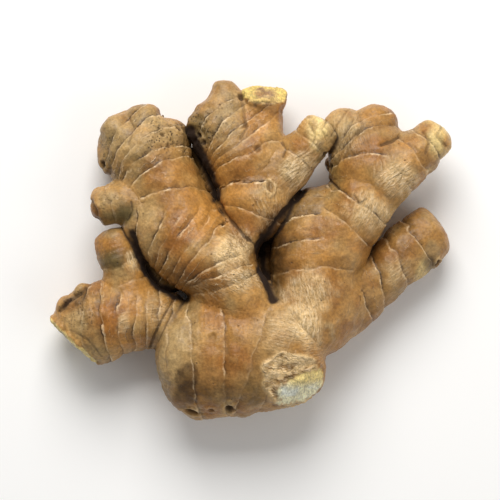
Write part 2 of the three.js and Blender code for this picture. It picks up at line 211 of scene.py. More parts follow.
LOBES = (
    Lobe(
        "mother",
        "mother",
        (
            (-38, -45, 4, 17, 14),
            (-29, -43.3, 0, 21.2, 18),
            (-12, -41.3, -0.4, 24.7, 20),
            (6, -40.7, 0, 23.6, 20),
            (19, -39.5, 2, 20, 17.5),
            (29, -37, 5, 14, 13),
        ),
        (0.45, 0.5),
        Cut((22, -56.3, 28.2), (0.42, -0.62, 0.66), (16, -50), 10.5, warm_from=(-55.0, -50.0)),
    ),
    Lobe(
        "left_bud_stub",
        "mother",
        ((-20, -52, 12, 7, 7), (-19.5, -60, 10, 6.5, 6), (-19, -67.5, 10, 5, 5)),
    ),
    Lobe(
        "right_bud_stub",
        "mother",
        ((-5, -52, 12, 7, 7), (-5, -60, 10, 6.5, 6), (-4.5, -66, 10, 5, 5)),
    ),
    Lobe(
        "centre",
        "mother",
        ((13, -35, 6, 12, 14), (4, -25, 6, 10.5, 14), (-4, -14, 6, 10, 15.5), (-8, -3, 7, 9, 14.5)),
    ),
    Lobe(
        "left_trunk",
        "mother",
        (
            (2, -22, 7, 10, 12.5),
            (-8, -13, 5, 13.5, 16.5),
            (-17.5, -2, 2, 17.6, 19),
            (-28.8, 5.8, 2, 17.4, 18),
            (-40.8, 10.8, 4, 12.6, 14.5),
            (-51, 13.8, 8, 7.6, 9.5),
        ),
    ),
    Lobe(
        "left_nub",
        "mother",
        (
            (-38, 16, 8, 8, 9),
            (-48, 18.6, 12, 8, 8.5),
            (-56.5, 19.2, 14, 8.2, 8.5),
            (-64, 16.8, 15, 6.5, 6.5),
        ),
        melt=2.5,
    ),
    Lobe("left_web", "mother", ((-47, 3, 3, 4, 5), (-40, -8, 3, 5, 6), (-30, -16, 3, 6, 7)), melt=2.0),
    Lobe(
        "left_head",
        "mother",
        (
            (-22, 5, 6, 12, 14),
            (-30, 20, 4, 13.5, 15),
            (-38, 32, 2, 15.5, 15),
            (-43, 42, 1, 17, 14),
            (-46.5, 51, 2, 13, 11),
        ),
    ),
    Lobe(
        "left_head_thumb",
        "mother",
        ((-42, 38, 2, 12, 12), (-51, 44, 0, 12, 11.5), (-60.5, 49, 2, 9.5, 8.5)),
    ),
    Lobe(
        "left_head_tip",
        "mother",
        ((-40, 46, 8, 7, 9), (-42.5, 52.5, 8, 6.8, 8), (-43.5, 59.5, 8, 6, 7)),
        (0.8, 0.6),
        melt=3.5,
    ),
    Lobe(
        "left_head_knob",
        "mother",
        ((-48, 43, 8, 7, 9), (-53.5, 48.5, 8, 7, 8.5), (-57.5, 53.5, 8, 5.5, 7)),
        melt=1.5,
    ),
    Lobe(
        "left_head_low_knob",
        "mother",
        ((-50, 38, 6, 6, 8), (-56, 37, 7, 5.5, 7), (-61, 36, 8, 4.5, 5)),
        melt=2.0,
    ),
    Lobe(
        "left_head_corner",
        "mother",
        ((-35, 34, 2, 9, 11), (-33, 44, -0.4, 8, 10), (-31.5, 54, 2, 6.5, 7)),
        (0.8, 0.7),
        melt=3.5,
    ),
    Lobe(
        "middle_trunk",
        "middle",
        ((-3, -5, 6, 6, 12), (-1, 7, 6, 8.5, 14), (2, 19, 4, 15, 16), (2.5, 32, 5, 15.5, 15)),
    ),
    Lobe(
        "middle_head",
        "middle",
        (
            (2, 26, 5, 13.5, 14),
            (-3.5, 37, 4, 14.5, 14),
            (-8.5, 48, 3, 14.5, 13),
            (-11, 58, 4, 11, 10.5),
            (-12, 64, 6, 8, 8),
        ),
    ),
    Lobe(
        "middle_head_tip",
        "middle",
        ((-11, 52, 8, 7, 8), (-10.5, 62, 8, 6, 7), (-10, 69.5, 9, 4.5, 5.5)),
        (0.8, 0.9),
        melt=3.0,
    ),
    Lobe(
        "middle_head_knob",
        "middle",
        ((-10, 48, 10, 7, 9), (-15.5, 52, 10, 6, 8), (-20, 56.5, 10, 4.5, 6)),
        melt=1.5,
    ),
    Lobe(
        "middle_head_corner",
        "middle",
        ((-13, 47, 6, 7, 9), (-19, 50, 8, 6, 7), (-25, 52, 9, 4.5, 5)),
        (0.8, 0.9),
    ),
    Lobe(
        "middle_stub",
        "middle",
        (
            (3, 28, 8, 10, 11),
            (5, 42, 9, 8.5, 10),
            (6, 53, 9, 7.5, 9),
            (6.5, 61, 9, 8.5, 9),
            (6.5, 70, 9, 8, 9),
        ),
        (0.8, 0.6),
        Cut(
            (6.5, 63, 20),
            (0.08, 0.9, 0.42),
            flesh=(0.66, 0.44, 0.17),
            cool=(0.36, 0.20, 0.08),
            warm=(0.80, 0.58, 0.16),
            warm_from=(59.0, 63.5),
        ),
    ),
    Lobe(
        "middle_branch",
        "middle",
        (
            (4, 22, 8, 9, 11),
            (14, 32, 10, 9.5, 11),
            (22, 40.5, 13, 8.2, 10),
            (27, 46.5, 14, 8, 9.5),
            (31, 51.5, 15, 6.8, 8),
        ),
        (0.8, 0.4),
    ),
    Lobe("middle_web", "middle", ((-8, 14, 4, 5, 6), (-15.5, 27, 2, 4.5, 4.5), (-21, 44, 2, 4.5, 4.5))),
    Lobe(
        "right_trunk",
        "right",
        (
            (21, -40, 5, 12, 14),
            (26, -26, 3, 16, 16.5),
            (26.5, -9, 2, 18.5, 16.5),
            (26.5, 5, 2, 18, 15),
            (25.5, 15, 4, 14, 12),
            (24, 25.5, 7, 7.5, 8),
        ),
    ),
    Lobe(
        "right_web",
        "right",
        ((10, 10, 3, 4, 5), (6.5, 1, 3, 4.5, 5.5), (6.5, -9, 3, 5, 6), (9, -18, 3, 5.5, 7)),
        melt=2.0,
    ),
    Lobe(
        "right_neck",
        "right",
        ((30, -8, 4, 13, 14), (37, 6, 3, 13.5, 15.5), (44, 18, 4, 13.5, 15.5), (49, 30, 5, 15, 15)),
    ),
    Lobe(
        "right_head",
        "right",
        ((49, 24, 5, 13, 14), (48, 35, 4, 15.5, 14.5), (46.5, 45, 3, 14.5, 13), (46, 53, 4, 12, 10)),
        (0.8, 0.7),
    ),
    Lobe(
        "right_head_left_tip",
        "right",
        ((45, 41, 5, 9, 10.5), (39, 49, 5, 8, 9.5), (36, 57, 5, 6.5, 7)),
        melt=2.5,
    ),
    Lobe(
        "right_head_right_tip",
        "right",
        ((49, 42, 6, 10, 11), (51.5, 51, 6, 9, 9.5), (52, 59.5, 8, 7.5, 7.5)),
        melt=2.5,
    ),
    Lobe(
        "right_head_spur",
        "right",
        ((42, 40, 6, 6, 6), (36.5, 36.5, 4, 4.5, 5), (31.5, 34.5, 3, 3.5, 4)),
        (0.8, 0.9),
        melt=2.5,
    ),
    Lobe(
        "right_branch",
        "right",
        (
            (49, 23, 8, 11, 12),
            (59, 32, 9, 10.5, 11.5),
            (68, 39.5, 10, 9.5, 10.5),
            (73.5, 44.5, 11, 8.2, 9.5),
            (78.2, 49, 12, 7, 8),
        ),
        (0.8, 0.5),
    ),
    Lobe(
        "far_right_finger",
        "far_right",
        (
            (24, -32, 2, 12, 13),
            (38, -22, 0, 12.5, 12.5),
            (50.3, -12.8, -0.4, 11.6, 12),
            (60.5, -4, -0.4, 11.2, 12),
            (68, 3.6, 0, 12.2, 11),
            (78.5, 11, 3, 9.4, 8),
        ),
        (0.8, 0.5),
    ),
    Lobe(
        "left_low_finger",
        "left_low",
        (
            (-26, -30, 4, 11, 13),
            (-40, -26.5, 3, 13, 14),
            (-53, -27, 3, 14.5, 14.5),
            (-62, -29, 3, 16.6, 14),
            (-71, -32.5, 3, 12.3, 12),
            (-79, -38, 4, 8, 9),
        ),
        (0.8, 0.6),
        Cut((-71.5, -37, 17), (-0.68, -0.72, 0.02), flesh=(0.66, 0.55, 0.36), cool=(0.45, 0.37, 0.22)),
    ),
    Lobe(
        "left_low_knob",
        "left_low",
        ((-66, -25, 11, 5, 6), (-72, -23, 13, 4, 5.5), (-78, -20.5, 15, 3, 3.5)),
        (0.8, 0.9),
        melt=2.5,
    ),
    Lobe(
        "left_low_bud",
        "left_low",
        ((-62, -20, 14, 4, 6), (-66.5, -17, 15, 3.5, 5), (-70.5, -14.5, 16, 2.5, 3.5)),
        (0.8, 0.9),
        melt=1.5,
    ),
    Lobe(
        "left_low_nub",
        "left_low",
        ((-46, -22, 6, 9, 10), (-50, -10, 8, 9, 10), (-53.5, -1, 10, 8.8, 9.5), (-56, 9.5, 11, 7, 7.5)),
    ),
)


@dataclass(frozen=True)
class Web:
    """A place where two fingers have grown together without a crease between them.

    Attributes:
        at: Its middle.
        reach: How far from there the fingers still run together.
        blend: How far apart their skins start to run into each other.
        calm: How much of the painted shade between the fingers is missing there, from 0 to 1.
    """

    at: tuple[float, float, float]
    reach: float
    blend: float
    calm: float = 1.0


WEBS = (
    Web((15, -33, 30), 16, 9),
    Web((34, -26, 24), 12, 6),
    Web((43, -14, 20), 9, 5),
    Web((-34, -30, 22), 9, 3, 0.6),
    Web((-46, 17, 20), 7, 2, 0.8),
    Web((-4, 8, 32), 9, 2.5, 0.75),
)


@dataclass(frozen=True)
class Growth:
    """A run of lobes whose leaf scars follow one axis.

    Attributes:
        lobes: The names of its lobes.
        rings: Its leaf scars.
        spine: Its axis, as for a lobe; that of its first lobe if there is none.
    """

    lobes: tuple[str, ...]
    rings: tuple[Ring, ...] = ()
    spine: tuple[tuple[float, float, float, float, float], ...] = ()


GROWTHS = (
    Growth(
        ("mother", "left_bud_stub", "right_bud_stub"),
        (
            Ring(6, -8, 0, 0.3),
            Ring(16.8, -1, 0.5, 0.5),
            Ring(29.1, -1, 1, 0.55),
            Ring(40.3, -18, 0.5, 0.45),
            Ring(52.5, -25, 0.5, 0.35),
        ),
    ),
    Growth(
        ("left_trunk", "centre", "left_web"),
        (
            Ring(13.5, -20, 0, 0.5),
            Ring(18, -16, 0, 0.7),
            Ring(22.1, -12, 0),
            Ring(30.6, 1, 0),
            Ring(35.4, 0, 0, 0.5),
            Ring(40.1, -3, 0),
            Ring(44.6, -2, 0.4, 0.6),
            Ring(49.2, -2, 0.8),
            Ring(59, 8, 0.5),
        ),
    ),
    Growth(("left_nub",), (Ring(20, 5, 1, 0.4),)),
    Growth(
        (
            "left_head",
            "left_head_thumb",
            "left_head_tip",
            "left_head_knob",
            "left_head_low_knob",
            "left_head_corner",
        ),
        (
            Ring(20.5, -20, 1, 0.7),
            Ring(31.4, -1, 2.4),
            Ring(36.8, 2, 3.1),
            Ring(43.1, 16, 4),
            Ring(48.8, 20, 4),
            Ring(55, 24, 4.5, 0.8),
        ),
    ),
    Growth(
        (
            "middle_trunk",
            "middle_head",
            "middle_head_tip",
            "middle_head_corner",
            "middle_head_knob",
            "middle_web",
            "middle_stub",
        ),
        (
            Ring(20.5, -10, -2, 0.7),
            Ring(33.6, -9, 1),
            Ring(41.8, 1.9, -1),
            Ring(47.8, 10.8, 0, 0.6),
            Ring(53.3, 15.9, 0.6),
            Ring(59.2, 26.9, 0),
            Ring(66, 25.3, 1.5),
        ),
        (
            (-3, -5, 6, 6, 12),
            (-1, 7, 6, 8.5, 14),
            (2, 19, 4, 15, 16),
            (0, 30, 5, 15, 15),
            (-3.5, 39, 4, 14.5, 14),
            (-8.5, 49, 3, 14.5, 13),
            (-11, 58, 4, 11, 10.5),
            (-12, 66, 6, 8, 8),
        ),
    ),
    Growth(("middle_branch",), (Ring(24, 0, 0.8, 0.5), Ring(31, 0, 0.8, 0.6))),
    Growth(
        ("right_trunk", "right_web"),
        (Ring(33.1, 3, 1, 0.4), Ring(44.5, -2, 3, 1.2), Ring(55.2, -3, 4.5, 1.2), Ring(62.9, -15, 1, 0.7)),
    ),
    Growth(
        (
            "right_neck",
            "right_head",
            "right_head_left_tip",
            "right_head_right_tip",
            "right_head_spur",
        ),
        (
            Ring(22, -8, 1.5, 0.5),
            Ring(31.7, -6.2, 1.9),
            Ring(48.9, -3.6, 2.5),
            Ring(58.2, 14.7, 2.5, 0.8),
            Ring(63.1, 22.1, 2.6, 0.7),
        ),
        (
            (30, -8, 4, 13, 14),
            (37, 6, 3, 13.5, 15.5),
            (44, 18, 4, 13.5, 15.5),
            (48.5, 28, 5, 15, 15),
            (48.5, 37, 4, 15.5, 14.5),
            (46.5, 46, 3, 14.5, 13),
            (46, 55, 4, 12, 10),
        ),
    ),
    Growth(("right_branch",), (Ring(14, 0, 0.5, 0.4), Ring(24, 0, 0.8, 0.4), Ring(31, 0, 0.8, 0.6))),
    Growth(
        ("far_right_finger",),
        (Ring(26, -10, 1, 0.8), Ring(36.2, -23, 1), Ring(46.5, -15, 0.5, 0.8), Ring(57.5, -7, 1)),
    ),
    Growth(
        ("left_low_finger", "left_low_knob", "left_low_bud"),
        (
            Ring(5.5, 10, 0.3, 0.8),
            Ring(11, 7, 0.3),
            Ring(16.5, 0, 0.5, 0.7),
            Ring(21.6, -6, 0.6),
            Ring(27.5, -5, 1, 0.7),
            Ring(33.6, -9, 1),
            Ring(41.1, -18, 1.2, 0.8),
        ),
    ),
    Growth(("left_low_nub",), (Ring(12, 0, 1, 0.7), Ring(20, 0, 1, 0.5))),
)


class Tone(Enum):
    """The colours that ginger skin has in patches; umber is also laid as painted shade and cream as painted
    highlight.
    """

    HONEY = (0.368, 0.180, 0.043)
    AMBER = (0.468, 0.215, 0.046)
    TAN = (0.432, 0.242, 0.077)
    SAND = (0.395, 0.262, 0.108)
    RUSSET = (0.278, 0.108, 0.019)
    UMBER = (0.070, 0.034, 0.010)
    OLIVE = (0.135, 0.095, 0.032)
    CREAM = (0.860, 0.600, 0.290)
    STRAW = (0.820, 0.600, 0.240)


@dataclass(frozen=True)
class Patch:
    """A patch of colour on the upper side: mostly the skin's own colour, though some patches are painted
    shade or painted highlight.

    Attributes:
        x: Its middle, across.
        y: Its middle, towards the fingertips.
        wide: How far it reaches across.
        tall: How far it reaches towards the fingertips.
        tone: Its colour.
        strength: How much of that colour it has, from 0 to 1.
        turn: How far it is turned, in degrees.
        crinkle: How much its skin is crinkled, from 0 to 1.
        specks: How much it is speckled with dark pits, from 0 to 1.
        crisp: How sharply it ends, from 0 to 1.
    """

    x: float
    y: float
    wide: float
    tall: float
    tone: Tone
    strength: float = 0.8
    turn: float = 0.0
    crinkle: float = 0.0
    specks: float = 0.0
    crisp: float = 0.0


PATCHES = (
    # The mother lobe.
    Patch(-31, -36, 10, 17, Tone.SAND, 0.95),
    Patch(-33, -40, 5, 12, Tone.CREAM, 0.12),
    Patch(-33, -50, 6, 10, Tone.SAND, 0.8, specks=0.25),
    Patch(-25.2, -49.5, 4.6, 5, Tone.UMBER, 0.85, crisp=1.0),
    Patch(-24.5, -56, 5, 5.5, Tone.UMBER, 0.75, crisp=0.7),
    # Painted shade: these two darken the lower side of the mother lobe.
    Patch(-15, -55, 8, 9, Tone.UMBER, 0.6),
    Patch(-28, -58, 9, 5, Tone.UMBER, 0.35),
    Patch(-15, -46, 6, 6, Tone.RUSSET, 0.5),
    Patch(-6, -29, 13, 8, Tone.HONEY, 0.95),
    Patch(-8, -26, 12, 4, Tone.RUSSET, 0.5),
    Patch(-5, -43, 9, 9, Tone.RUSSET, 0.9),
    # Painted shade on the lower side of the mother lobe.
    Patch(-4, -56, 7, 6, Tone.UMBER, 0.4),
    Patch(6, -33, 7, 11, Tone.TAN, 0.9),
    Patch(3, -53, 6, 9, Tone.OLIVE, 0.35, 20),
    Patch(-16, -63, 4, 4, Tone.RUSSET, 0.9),
    Patch(-4.5, -63, 3, 3, Tone.RUSSET, 0.7),
    # These two are partly the crinkled skin's own paler colour, partly painted highlight.
    Patch(14, -31, 8, 8, Tone.CREAM, 0.45, crinkle=0.4),
    Patch(22, -28, 8, 8, Tone.CREAM, 0.75, crinkle=1.0),
    Patch(26, -44, 5, 7, Tone.AMBER, 0.5, crinkle=0.3),
    # The left finger's trunk.
    Patch(-41.5, 13, 9, 11, Tone.SAND, 0.75),
    Patch(-37, -1, 9, 9, Tone.SAND, 0.5),
    Patch(-28, 7, 7, 13, Tone.RUSSET, 1.0, -35),
    # Along the left trunk's lower edge: the russet patch is partly the skin's own tone and partly painted
    # shade, the umber one painted shade.
    Patch(-22, -8, 10, 7, Tone.RUSSET, 0.85, -30),
    Patch(-26, -11, 9, 4, Tone.UMBER, 0.5, -30),
    Patch(-18, 16, 9, 10, Tone.AMBER, 0.8),
    # These three are partly the crinkled skin's own paler colour, partly painted highlight.
    Patch(-6.5, 0.5, 8, 7, Tone.CREAM, 1.0, crinkle=1.0),
    Patch(-8.5, 0.5, 5.5, 5.5, Tone.CREAM, 0.9),
    Patch(-3, -11, 8, 5, Tone.CREAM, 0.5, crinkle=1.0),
    Patch(-16, -15, 9, 4, Tone.HONEY, 0.6, crinkle=0.4),
    # The left head and its nub.
    Patch(-31, 30, 9, 6, Tone.AMBER, 0.4),
    Patch(-39, 30, 4, 6, Tone.RUSSET, 0.6, 20),
    Patch(-55, 47, 8, 9, Tone.SAND, 0.9, specks=0.15),
    Patch(-43, 55, 8, 5, Tone.SAND, 0.7),
    Patch(-46, 44, 9, 9, Tone.SAND, 0.75),
    Patch(-37, 36, 8, 5, Tone.RUSSET, 0.6, 25),
    Patch(-47, 35, 5, 5, Tone.OLIVE, 0.35),
    Patch(-34, 45, 10, 8, Tone.SAND, 0.6, specks=1.0),
    Patch(-33, 41, 6, 3, Tone.AMBER, 0.5),
    Patch(-28, 47, 2.5, 6, Tone.UMBER, 0.4, specks=1.0),
    Patch(-56, 32, 6, 5, Tone.OLIVE, 0.6, specks=0.5),
    Patch(-59, 41, 4, 9, Tone.OLIVE, 0.3, specks=0.6),
    Patch(-57, 20.5, 8, 5, Tone.SAND, 0.9, specks=0.4),
    Patch(-56, 14, 8, 3.5, Tone.OLIVE, 0.8),
    Patch(-50.5, 15.5, 4.5, 5, Tone.OLIVE, 0.9),
    Patch(-63, 15, 3, 4, Tone.RUSSET, 0.8),
    Patch(-60, 12.5, 3, 2.5, Tone.UMBER, 0.5),
    # The low left finger, with its nub and its torn bud.
    Patch(-60.5, 3, 4, 5, Tone.AMBER, 0.7),
    Patch(-56, -3.5, 6.5, 5, Tone.OLIVE, 0.9),
    Patch(-52, -10, 6, 3, Tone.SAND, 0.7),
    # Partly the crinkled skin's own paler colour, partly painted highlight.
    Patch(-47.5, -4.5, 2.5, 5, Tone.CREAM, 0.7, crinkle=1.0),
    Patch(-69, -27, 8, 6, Tone.SAND, 0.8, specks=0.6),
    Patch(-71, -19.5, 7, 3, Tone.UMBER, 0.7, 35, specks=0.8),
    Patch(-56, -27, 9, 9, Tone.RUSSET, 0.95),
    Patch(-47, -17, 6, 7, Tone.AMBER, 0.6),
    # Partly the crinkled skin's own paler colour, partly painted highlight.
    Patch(-51, -28, 2.5, 4, Tone.CREAM, 0.6, crinkle=0.8),
    Patch(-37, -26, 6, 8, Tone.TAN, 0.7, crinkle=0.3),
    Patch(-62, -40, 7, 4, Tone.SAND, 0.7, -30, specks=0.2),
    Patch(-47, -37, 9, 4, Tone.AMBER, 0.7),
    # The middle finger.
    Patch(-2, 11, 9, 8, Tone.RUSSET, 0.8),
    Patch(-6, 21, 8, 6, Tone.AMBER, 0.6),
    Patch(9, 17, 6, 8, Tone.TAN, 0.6, -30, crinkle=0.5),
    Patch(8.5, 26, 5.5, 5.5, Tone.TAN, 0.5, crinkle=0.5),
    Patch(-2, 31, 10, 6, Tone.RUSSET, 0.65),
    Patch(-8, 44, 8, 7, Tone.SAND, 0.5),
    Patch(8, 38, 6, 9, Tone.TAN, 0.7),
    Patch(2, 42, 5, 4, Tone.RUSSET, 0.6),
    Patch(-19.5, 47, 6, 8, Tone.OLIVE, 0.7, specks=1.0),
    Patch(-10, 54, 7, 9, Tone.SAND, 0.85, specks=0.4),
    Patch(-22, 51, 5, 8, Tone.OLIVE, 0.4, specks=0.9),
    Patch(-9, 66, 5, 4, Tone.SAND, 0.7),
    Patch(4, 52, 6, 7, Tone.AMBER, 0.7),
    Patch(12.5, 59, 4, 5, Tone.AMBER, 0.7),
    Patch(-12, 34, 5, 6, Tone.AMBER, 0.6),
    # Painted shade in the crevice between the left and middle heads.
    Patch(-20, 36, 3, 7, Tone.UMBER, 0.7, 20),
    # Partly the crinkled skin's own paler colour, partly painted highlight.
    Patch(20, 33, 9, 7, Tone.CREAM, 0.75, 40, crinkle=1.0),
    Patch(21, 43, 5, 5, Tone.RUSSET, 0.5),
    Patch(28.5, 48, 5.5, 7.5, Tone.STRAW, 1.0, 0, 0.15, 0.2),
    Patch(30.5, 44, 2, 2.5, Tone.AMBER, 0.6),
    Patch(26, 50, 1.5, 2.5, Tone.TAN, 0.7),
    Patch(31, 38, 2.5, 3, Tone.UMBER, 0.6),
    # The right finger.
    # Painted shadow: these five darken the right finger's back where the middle finger overhangs it, down
    # into the crevice below.
    Patch(11, 2, 6, 15, Tone.RUSSET, 0.9),
    Patch(10, 2, 5.5, 15, Tone.UMBER, 0.95),
    Patch(17, 14, 5, 8, Tone.UMBER, 0.5, -30),
    Patch(14, 1, 7, 12, Tone.UMBER, 0.5),
    Patch(12, -12, 4, 6, Tone.UMBER, 0.5),
    Patch(24, 19, 8, 5, Tone.OLIVE, 0.4),
    Patch(30, 8, 11, 5, Tone.RUSSET, 0.8),
    Patch(26, -2, 12, 6, Tone.AMBER, 0.7),
    # Partly the crinkled skin's own paler colour, partly painted highlight.
    Patch(25, -16, 10, 8, Tone.CREAM, 0.45, crinkle=0.6),
    Patch(43, 5, 5, 6, Tone.AMBER, 0.7),
    Patch(43, 29, 8, 7, Tone.HONEY, 0.7),
    Patch(41, 22, 4, 5, Tone.RUSSET, 0.7),
    # These two are partly the crinkled skin's own paler colour, partly painted highlight.
    Patch(49, 15.5, 8, 8, Tone.CREAM, 0.55, crinkle=0.8),
    Patch(60, 29, 8, 8, Tone.CREAM, 0.5, 40, crinkle=0.9),
    Patch(38, 48, 9, 11, Tone.SAND, 1.0, crinkle=0.3),
    Patch(53, 53, 9, 6, Tone.HONEY, 0.8),
    Patch(50, 41, 12, 7, Tone.RUSSET, 0.65),
    Patch(33, 32, 5, 7, Tone.OLIVE, 0.7),
    Patch(67, 41, 6, 7, Tone.AMBER, 0.6),
    Patch(75.5, 45, 5.5, 8.5, Tone.STRAW, 1.0, 0, 0.15, 0.2),
    Patch(71.5, 43, 2, 3, Tone.TAN, 0.8),
    Patch(79, 44, 2, 3, Tone.AMBER, 0.8),
    # The far right finger.
    Patch(53, 0, 10, 7, Tone.RUSSET, 0.5),
    Patch(65, 7, 9, 9, Tone.OLIVE, 0.2),
    # Painted shade along the slit between the far right finger and the right neck.
    Patch(63, 13, 4, 3, Tone.UMBER, 0.35, 35),
    # Partly the crinkled skin's own paler colour, partly painted highlight.
    Patch(61, -8, 6, 5, Tone.CREAM, 0.35, crinkle=0.4),
    Patch(75, 12, 4, 6, Tone.TAN, 0.7),
    Patch(70.5, -8, 4, 4.5, Tone.STRAW, 0.7, specks=0.4),
    Patch(74, -4.5, 2.5, 3, Tone.UMBER, 0.8),
)


@dataclass(frozen=True)
class Hollow:
    """A bud scar or a small crater with a raised rim.

    Attributes:
        x: Its middle, across.
        y: Its middle, towards the fingertips.
        wide: Half its width.
        tall: Half its height.
        deep: How deep it is.
        rim: How high its rim stands.
        dark: How dark its inside is, from 0 to 1.
        turn: How far it is turned, in degrees.
    """

    x: float
    y: float
    wide: float
    tall: float
    deep: float
    rim: float = 0.4
    dark: float = 0.6
    turn: float = 0.0


HOLLOWS = (
    Hollow(8.3, 26, 1.5, 2.3, 1.0, 0.9, 0.45, 15),
    Hollow(-15, -33.5, 2.2, 1.7, 0.6, 0.1, 0.25),
    Hollow(76.5, -4.5, 1.5, 2.3, 1.4, 0.7, 0.9),
    Hollow(-23.5, -64, 3.2, 2.0, 2.0, 0.5, 1.0, -35),
    Hollow(-15.5, -63.5, 1.6, 1.8, 0.8, 0.4, 0.5),
    Hollow(-8.3, -63, 2.0, 2.6, 1.4, 0.5, 0.9),
    Hollow(3, 41, 1.4, 1.6, 0.5, 0.3, 0.5),
    Hollow(-2, 51, 1.2, 2.0, 0.6, 0.2, 0.6, -30),
    Hollow(4.5, 60.5, 4.0, 1.5, 1.0, 0.2, 0.7),
    Hollow(-3.5, 62.5, 1.5, 2.2, 1.4, 0.3, 0.8),
    Hollow(-74.5, -20.5, 2.6, 0.9, 0.8, 0.3, 0.8, 40),
    Hollow(-29.5, 49.5, 1.6, 1.2, 0.9, 0.4, 0.8),
    Hollow(-35.5, 47, 1.2, 1.0, 0.6, 0.3, 0.7),
    Hollow(-33, 42.5, 1.0, 1.3, 0.5, 0.3, 0.6),
    Hollow(-21, 47, 1.6, 1.3, 0.9, 0.4, 1.0),
    Hollow(-19, 43.5, 1.1, 1.4, 0.7, 0.3, 0.9),
    Hollow(-60, 35, 1.4, 1.8, 0.9, 0.4, 0.9),
    Hollow(33, 34, 1.4, 1.8, 0.8, 0.4, 0.8),
    Hollow(31, 38.5, 1.3, 1.6, 0.8, 0.3, 0.9),
    Hollow(-42, 52.5, 3.0, 1.2, 0.4, 0.2, 0.1, 20),
    Hollow(-57, 20, 1.2, 1.0, 0.4, 0.1, 0.4),
)


@dataclass(frozen=True)
class Seam:
    """A crack or fold in the skin of the upper side, or a dark line of painted shade along a crevice between
    fingers.

    Attributes:
        path: Its points, x and y.
        deep: How deep it is.
        wide: How wide it is.
        dark: How dark it is, from 0 to 1; along a crevice between fingers this is painted shade.
        lip: How high the skin stands to the left of it, looking along the path.
    """

    path: tuple[tuple[float, float], ...]
    deep: float = 0.5
    wide: float = 0.6
    dark: float = 0.7
    lip: float = 0.2


SEAMS = (
    # These four and the one from (-48, 8) run along crevices between fingers; their darkness is painted
    # shade.
    Seam(((-25, 50), (-21.5, 42), (-18.3, 35), (-15, 27), (-13.5, 21)), 0.4, 2.2, 1.0, 0.0),
    Seam(((-13.5, 21), (-8.5, 13), (-2, 6), (3.5, 2)), 0.6, 0.7, 0.7, 0.0),
    Seam(((22, 25), (15, 17), (10.5, 11), (6.5, 5), (4.8, -1)), 1.0, 1.5, 1.0, 0.0),
    Seam(((6, 6), (5.0, 1), (5.1, -6), (7.4, -13), (9.6, -19.5)), 1.2, 2.1, 1.0, 0.0),
    Seam(((-77, -24), (-73.5, -20.5), (-70, -17.5), (-66.5, -14.5)), 0.9, 0.7, 0.6, 0.5),
    Seam(((24, 51), (26.5, 46.5), (25, 42)), 0.4, 0.5, 0.4, 0.35),
    Seam(((31.5, 53), (29, 48.5), (31.5, 44)), 0.4, 0.5, 0.4, 0.35),
    Seam(((70, 48), (72.5, 43.5), (70.5, 38.5)), 0.35, 0.5, 0.4, 0.35),
    Seam(((77.5, 50), (75.5, 46), (79, 42.5)), 0.35, 0.5, 0.4, 0.35),
    # The crevice between the left trunk and the low left finger, darkened as painted shade.
    Seam(((-48, 8), (-45.8, 1), (-42.5, -7), (-37.5, -13.5), (-31, -17.3), (-26, -18.8)), 0.6, 1.6, 1.0, 0.0),
    Seam(((-40.5, -39), (-38.5, -33), (-35, -26), (-31, -19)), 0.5, 0.5, 0.6, 0.3),
    Seam(((-37.5, -36), (-35, -31), (-31, -24)), 0.4, 0.4, 0.5),
    Seam(((-48, 20), (-47.3, 16.5), (-49.5, 12.5)), 0.5, 0.35, 0.55),
    Seam(((-64.5, 20.5), (-61.8, 16.5), (-61, 11.5)), 1.1, 0.9, 0.5),
    Seam(((42, 53), (38, 46.5), (34.5, 40)), 0.4, 0.6, 0.3, 0.4),
    Seam(((40, 57), (36, 51.5), (33, 46)), 0.4, 0.5, 0.3, 0.4),
    Seam(((46, 50), (41, 43.5), (37.5, 36.5)), 0.4, 0.6, 0.3, 0.4),
    # A fold below the right head's spur; its darkness is painted shade.
    Seam(((30.5, 30.5), (33, 28.5), (35.5, 25.5)), 0.8, 0.6, 0.8),
    Seam(((60.5, 46.5), (57.5, 44), (53, 42.5)), 0.7, 0.7, 0.6, 0.4),
    Seam(((58, 51), (50, 48.8), (43, 46.5), (37.5, 41), (35.5, 35)), 0.35, 0.9, 0.2, 0.35),
    Seam(((44, 55.7), (45.5, 50.5), (43, 47)), 0.5, 0.8, 0.3, 0.2),
    Seam(((-36.5, 51), (-38.5, 45), (-43, 38)), 0.4, 0.6, 0.3, 0.3),
    Seam(((-49, 53.5), (-46.5, 49), (-49, 43)), 0.4, 0.6, 0.3, 0.3),
    Seam(((-3.5, 62), (-2.5, 56), (-1, 50), (-4, 45)), 0.5, 0.7, 0.4, 0.3),
    Seam(((42, 23), (44, 19.5), (47, 21)), 0.3, 0.5, 0.5, 0.2),
    Seam(((13, 44), (14.5, 41), (13.5, 38)), 0.5, 0.6, 0.5, 0.3),
    Seam(((-73, -31), (-66, -35), (-60, -42)), 0.2, 0.5, 0.4, 0.1),
)


@dataclass
class Course:
    """Where points lie along one lobe.

    Attributes:
        distance: To the lobe's skin, less than nothing inside it.
        along: How far along the spine.
        side: How far to the left of the spine, seen from above.
        width: The lobe's half width there.
        turn: The angle round the spine.
        depth: The distance to the skin as it was before the lobe was broken off.
    """

    distance: np.ndarray
    along: np.ndarray
    side: np.ndarray
    width: np.ndarray
    turn: np.ndarray
    depth: np.ndarray


